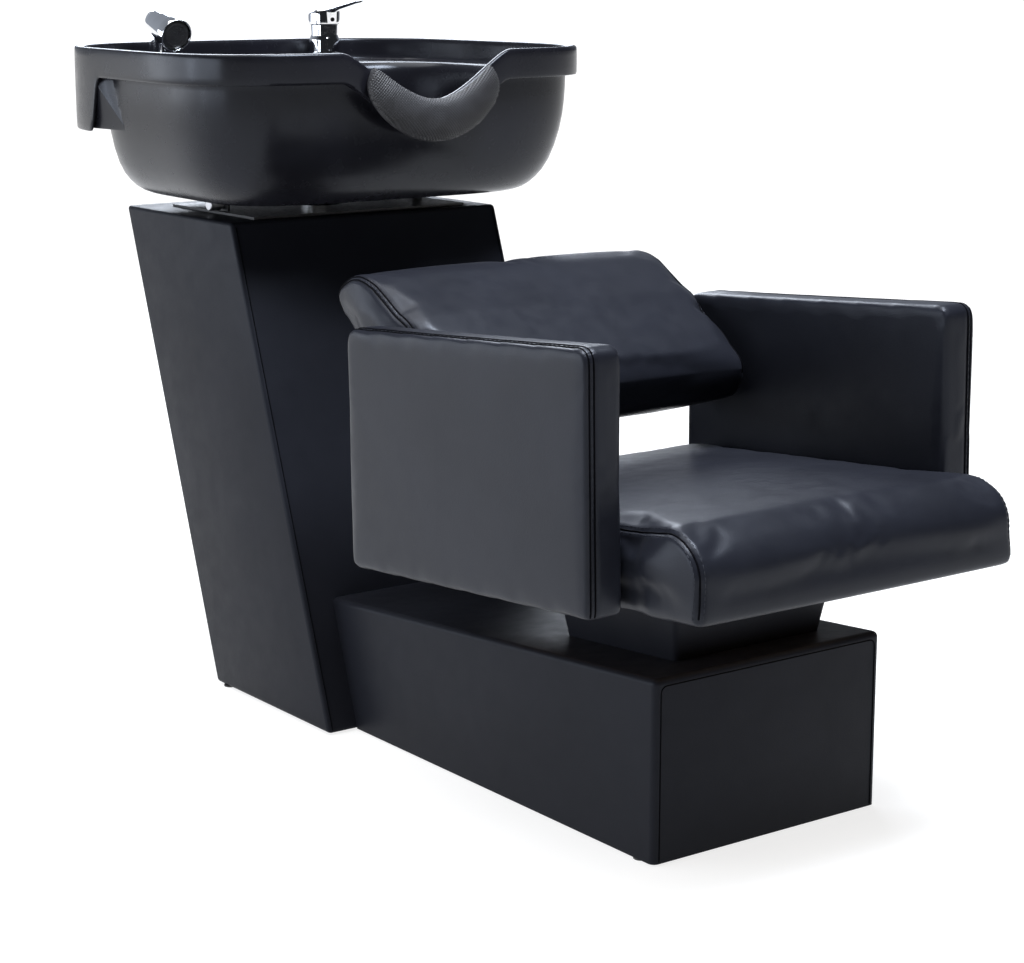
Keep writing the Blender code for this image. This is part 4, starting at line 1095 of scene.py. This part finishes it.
def make_spray():
    base = DECK_Z + GAP
    place = at(SPRAY_X, TAP_Y, 0)
    profile = [(0.0120, base), (0.0120, base + 0.016), (0.0150, base + 0.016), (0.0175, base + 0.006),
               (0.0230, base + 0.0025), (0.0230, base), (0.0145, base), (0.0145, DECK_Z - 0.045),
               (0.0120, DECK_Z - 0.045), (0.0120, base - 0.01)]
    put(turned("spray_cradle", profile, place, CHROME, soften=0.0012), "basin", ["spray_holder"])
    profile = [(0.0, SPRAY_AXIS_Z), (0.0112, SPRAY_AXIS_Z), (0.0108, base + 0.030), (0.0110, base + 0.018),
               (0.0110, base - 0.030), (0.0085, base - 0.040), (0.0085, base - 0.052), (0.0, base - 0.052)]
    handle = turned("handle", profile, place, CHROME, soften=0.003)
    axis = Vector((0, -math.cos(SPRAY_DROOP), -math.sin(SPRAY_DROOP)))
    rear = Vector((SPRAY_X, TAP_Y + 0.010, SPRAY_AXIS_Z + 0.0035))
    sunk = SPRAY_LENGTH - 0.0045
    profile = [(0.0, 0.0), (0.0080, 0.0008), (0.0150, 0.0050), (0.0185, 0.0150), (0.0205, 0.0330),
               (0.0220, 0.0540), (0.0220, SPRAY_LENGTH), (0.0200, SPRAY_LENGTH), (0.0200, sunk), (0.0, sunk)]
    barrel = turned("barrel", profile, at(*rear) @ along(axis), CHROME, soften=0.0010)
    handset = union_of("hand_shower_shell", [handle, barrel], CHROME)
    put(handset, "hand_shower", ["spray_handset"])
    face_place = at(*(rear + axis * (sunk + GAP))) @ along(axis)
    profile = [(0.0, 0.0034), (0.0150, 0.0032), (0.0190, 0.0018), (0.0195, 0.0), (0.0, 0.0)]
    face = turned("spray_plate", profile, face_place, MATERIALS["dark_plastic"], soften=0.0006)
    put(face, "hand_shower", ["spray_face"])
    bm = bmesh.new()
    for ring, number in ((0.005, 6), (0.010, 12), (0.0145, 18)):
        for a in angles(number):
            spot = Vector((ring * math.cos(a), ring * math.sin(a), 0.0036))
            made = bmesh.ops.create_cone(bm, cap_ends=True, segments=10, radius1=0.0008, radius2=0.0005,
                                         depth=0.0012)
            bmesh.ops.translate(bm, vec=spot, verts=made["verts"])
    bmesh.ops.transform(bm, matrix=face_place, verts=bm.verts)
    put(from_bmesh("spray_nozzles", bm, MATERIALS["gel_rubber"]), "hand_shower")


# ---- studio


def make_studio():
    world = bpy.data.worlds.new("studio")
    bpy.context.scene.world = world
    world.use_nodes = True
    tree = world.node_tree
    view = add_node(tree, "ShaderNodeTexCoord", {}).outputs["Generated"]
    rearward = add_node(tree, "ShaderNodeSeparateXYZ", {"Vector": view}).outputs["Y"]
    glow = add_node(tree, "ShaderNodeMapRange", {"From Min": -0.1, "From Max": 1.0, "To Min": 0.02,
                                                 "To Max": 0.42, "Value": rearward}).outputs["Result"]
    soft = tree.nodes["Background"]
    soft.inputs["Color"].default_value = (0.80, 0.87, 1.0, 1.0)
    tree.links.new(glow, soft.inputs["Strength"])
    white = add_node(tree, "ShaderNodeBackground", {"Color": (1.0, 1.0, 1.0, 1.0)}).outputs["Background"]
    seen = add_node(tree, "ShaderNodeLightPath", {}).outputs["Is Camera Ray"]
    mix = add_node(tree, "ShaderNodeMixShader", {"Fac": seen, 1: soft.outputs["Background"], 2: white})
    tree.links.new(mix.outputs["Shader"], tree.nodes["World Output"].inputs["Surface"])
    bm = bmesh.new()
    bmesh.ops.create_grid(bm, x_segments=8, y_segments=8, size=90.0)
    paper = Nodes("studio_paper", (0.30, 0.30, 0.30), 0.9, Specular_IOR_Level=0.0,
                  Emission_Color=(1.0, 1.0, 1.0, 1.0), Emission_Strength=0.80)
    paper.colour(paper.mixed(paper.noise(3.0), (0.295, 0.295, 0.295), (0.305, 0.305, 0.305)))
    floor = from_bmesh("studio_floor", bm, paper.material)
    sun("top", (-0.12, 0.10, 1.0), 3.2, 55)
    area_light("key", (-2.5, 2.1, 0.90), (-0.2, 0.0, 0.45), (2.6, 0.9), 30)
    area_light("fill", (-3.2, 0.3, 0.90), (-0.2, 0.0, 0.45), (2.6, 0.9), 45)
    area_light("rear", (1.6, 3.4, 2.4), (0.0, -0.3, 0.45), (2.0, 2.0), 120)
    area_light("ceiling", (0.2, -0.7, 2.6), (-0.2, -0.05, 0.5), (0.8, 0.8), 110)


def light(name, kind, place, towards, strength):
    """A lamp at a place, whose light comes from the direction given by towards."""
    data = bpy.data.lights.new(name, kind)
    data.energy = strength
    lamp = linked(name, data)
    lamp.location = place
    lamp.rotation_euler = towards.to_track_quat("Z", "Y").to_euler()
    return data


def sun(name, towards, strength, spread):
    light(name, "SUN", (0, 0, 0), Vector(towards), strength).angle = math.radians(spread)


def area_light(name, place, target, size, power):
    data = light(name, "AREA", place, Vector(place) - Vector(target), power)
    data.shape = "RECTANGLE"
    data.color = (0.84, 0.90, 1.0)
    data.size, data.size_y = size


def make_camera():
    data = bpy.data.cameras.new("camera")
    data.lens = 84.84
    data.sensor_width = 36.0
    data.sensor_fit = "HORIZONTAL"
    camera = linked("camera", data)
    camera.location = (-1.6845, -2.3418, 0.9276)
    camera.rotation_euler = (math.radians(90 - 12.2), 0.0, math.radians(-36.2))
    bpy.context.scene.camera = camera
    bpy.context.scene.view_settings.view_transform = "Standard"


def dress_nodes():
    """Every CAD node that stays in view gets the procedural material of its slot."""
    slots = {row["node"]: row["material_slot"] for row in frame["record"]["subparts"]}
    for name, obj in frame["nodes"].items():
        obj.data.materials.clear()
        obj.data.materials.append(MATERIALS[slots[name]])
        for face in obj.data.polygons:
            face.material_index = 0


make_studio()
make_camera()
dress_nodes()
make_pedestal()
make_plinth()
make_riser()
make_seat()
make_backrest()
make_arm(-1, "right")
make_arm(1, "left")
make_basin()
make_neck_pad()
make_drain()
make_mixer()
make_spray()

bpy.context.view_layer.update()
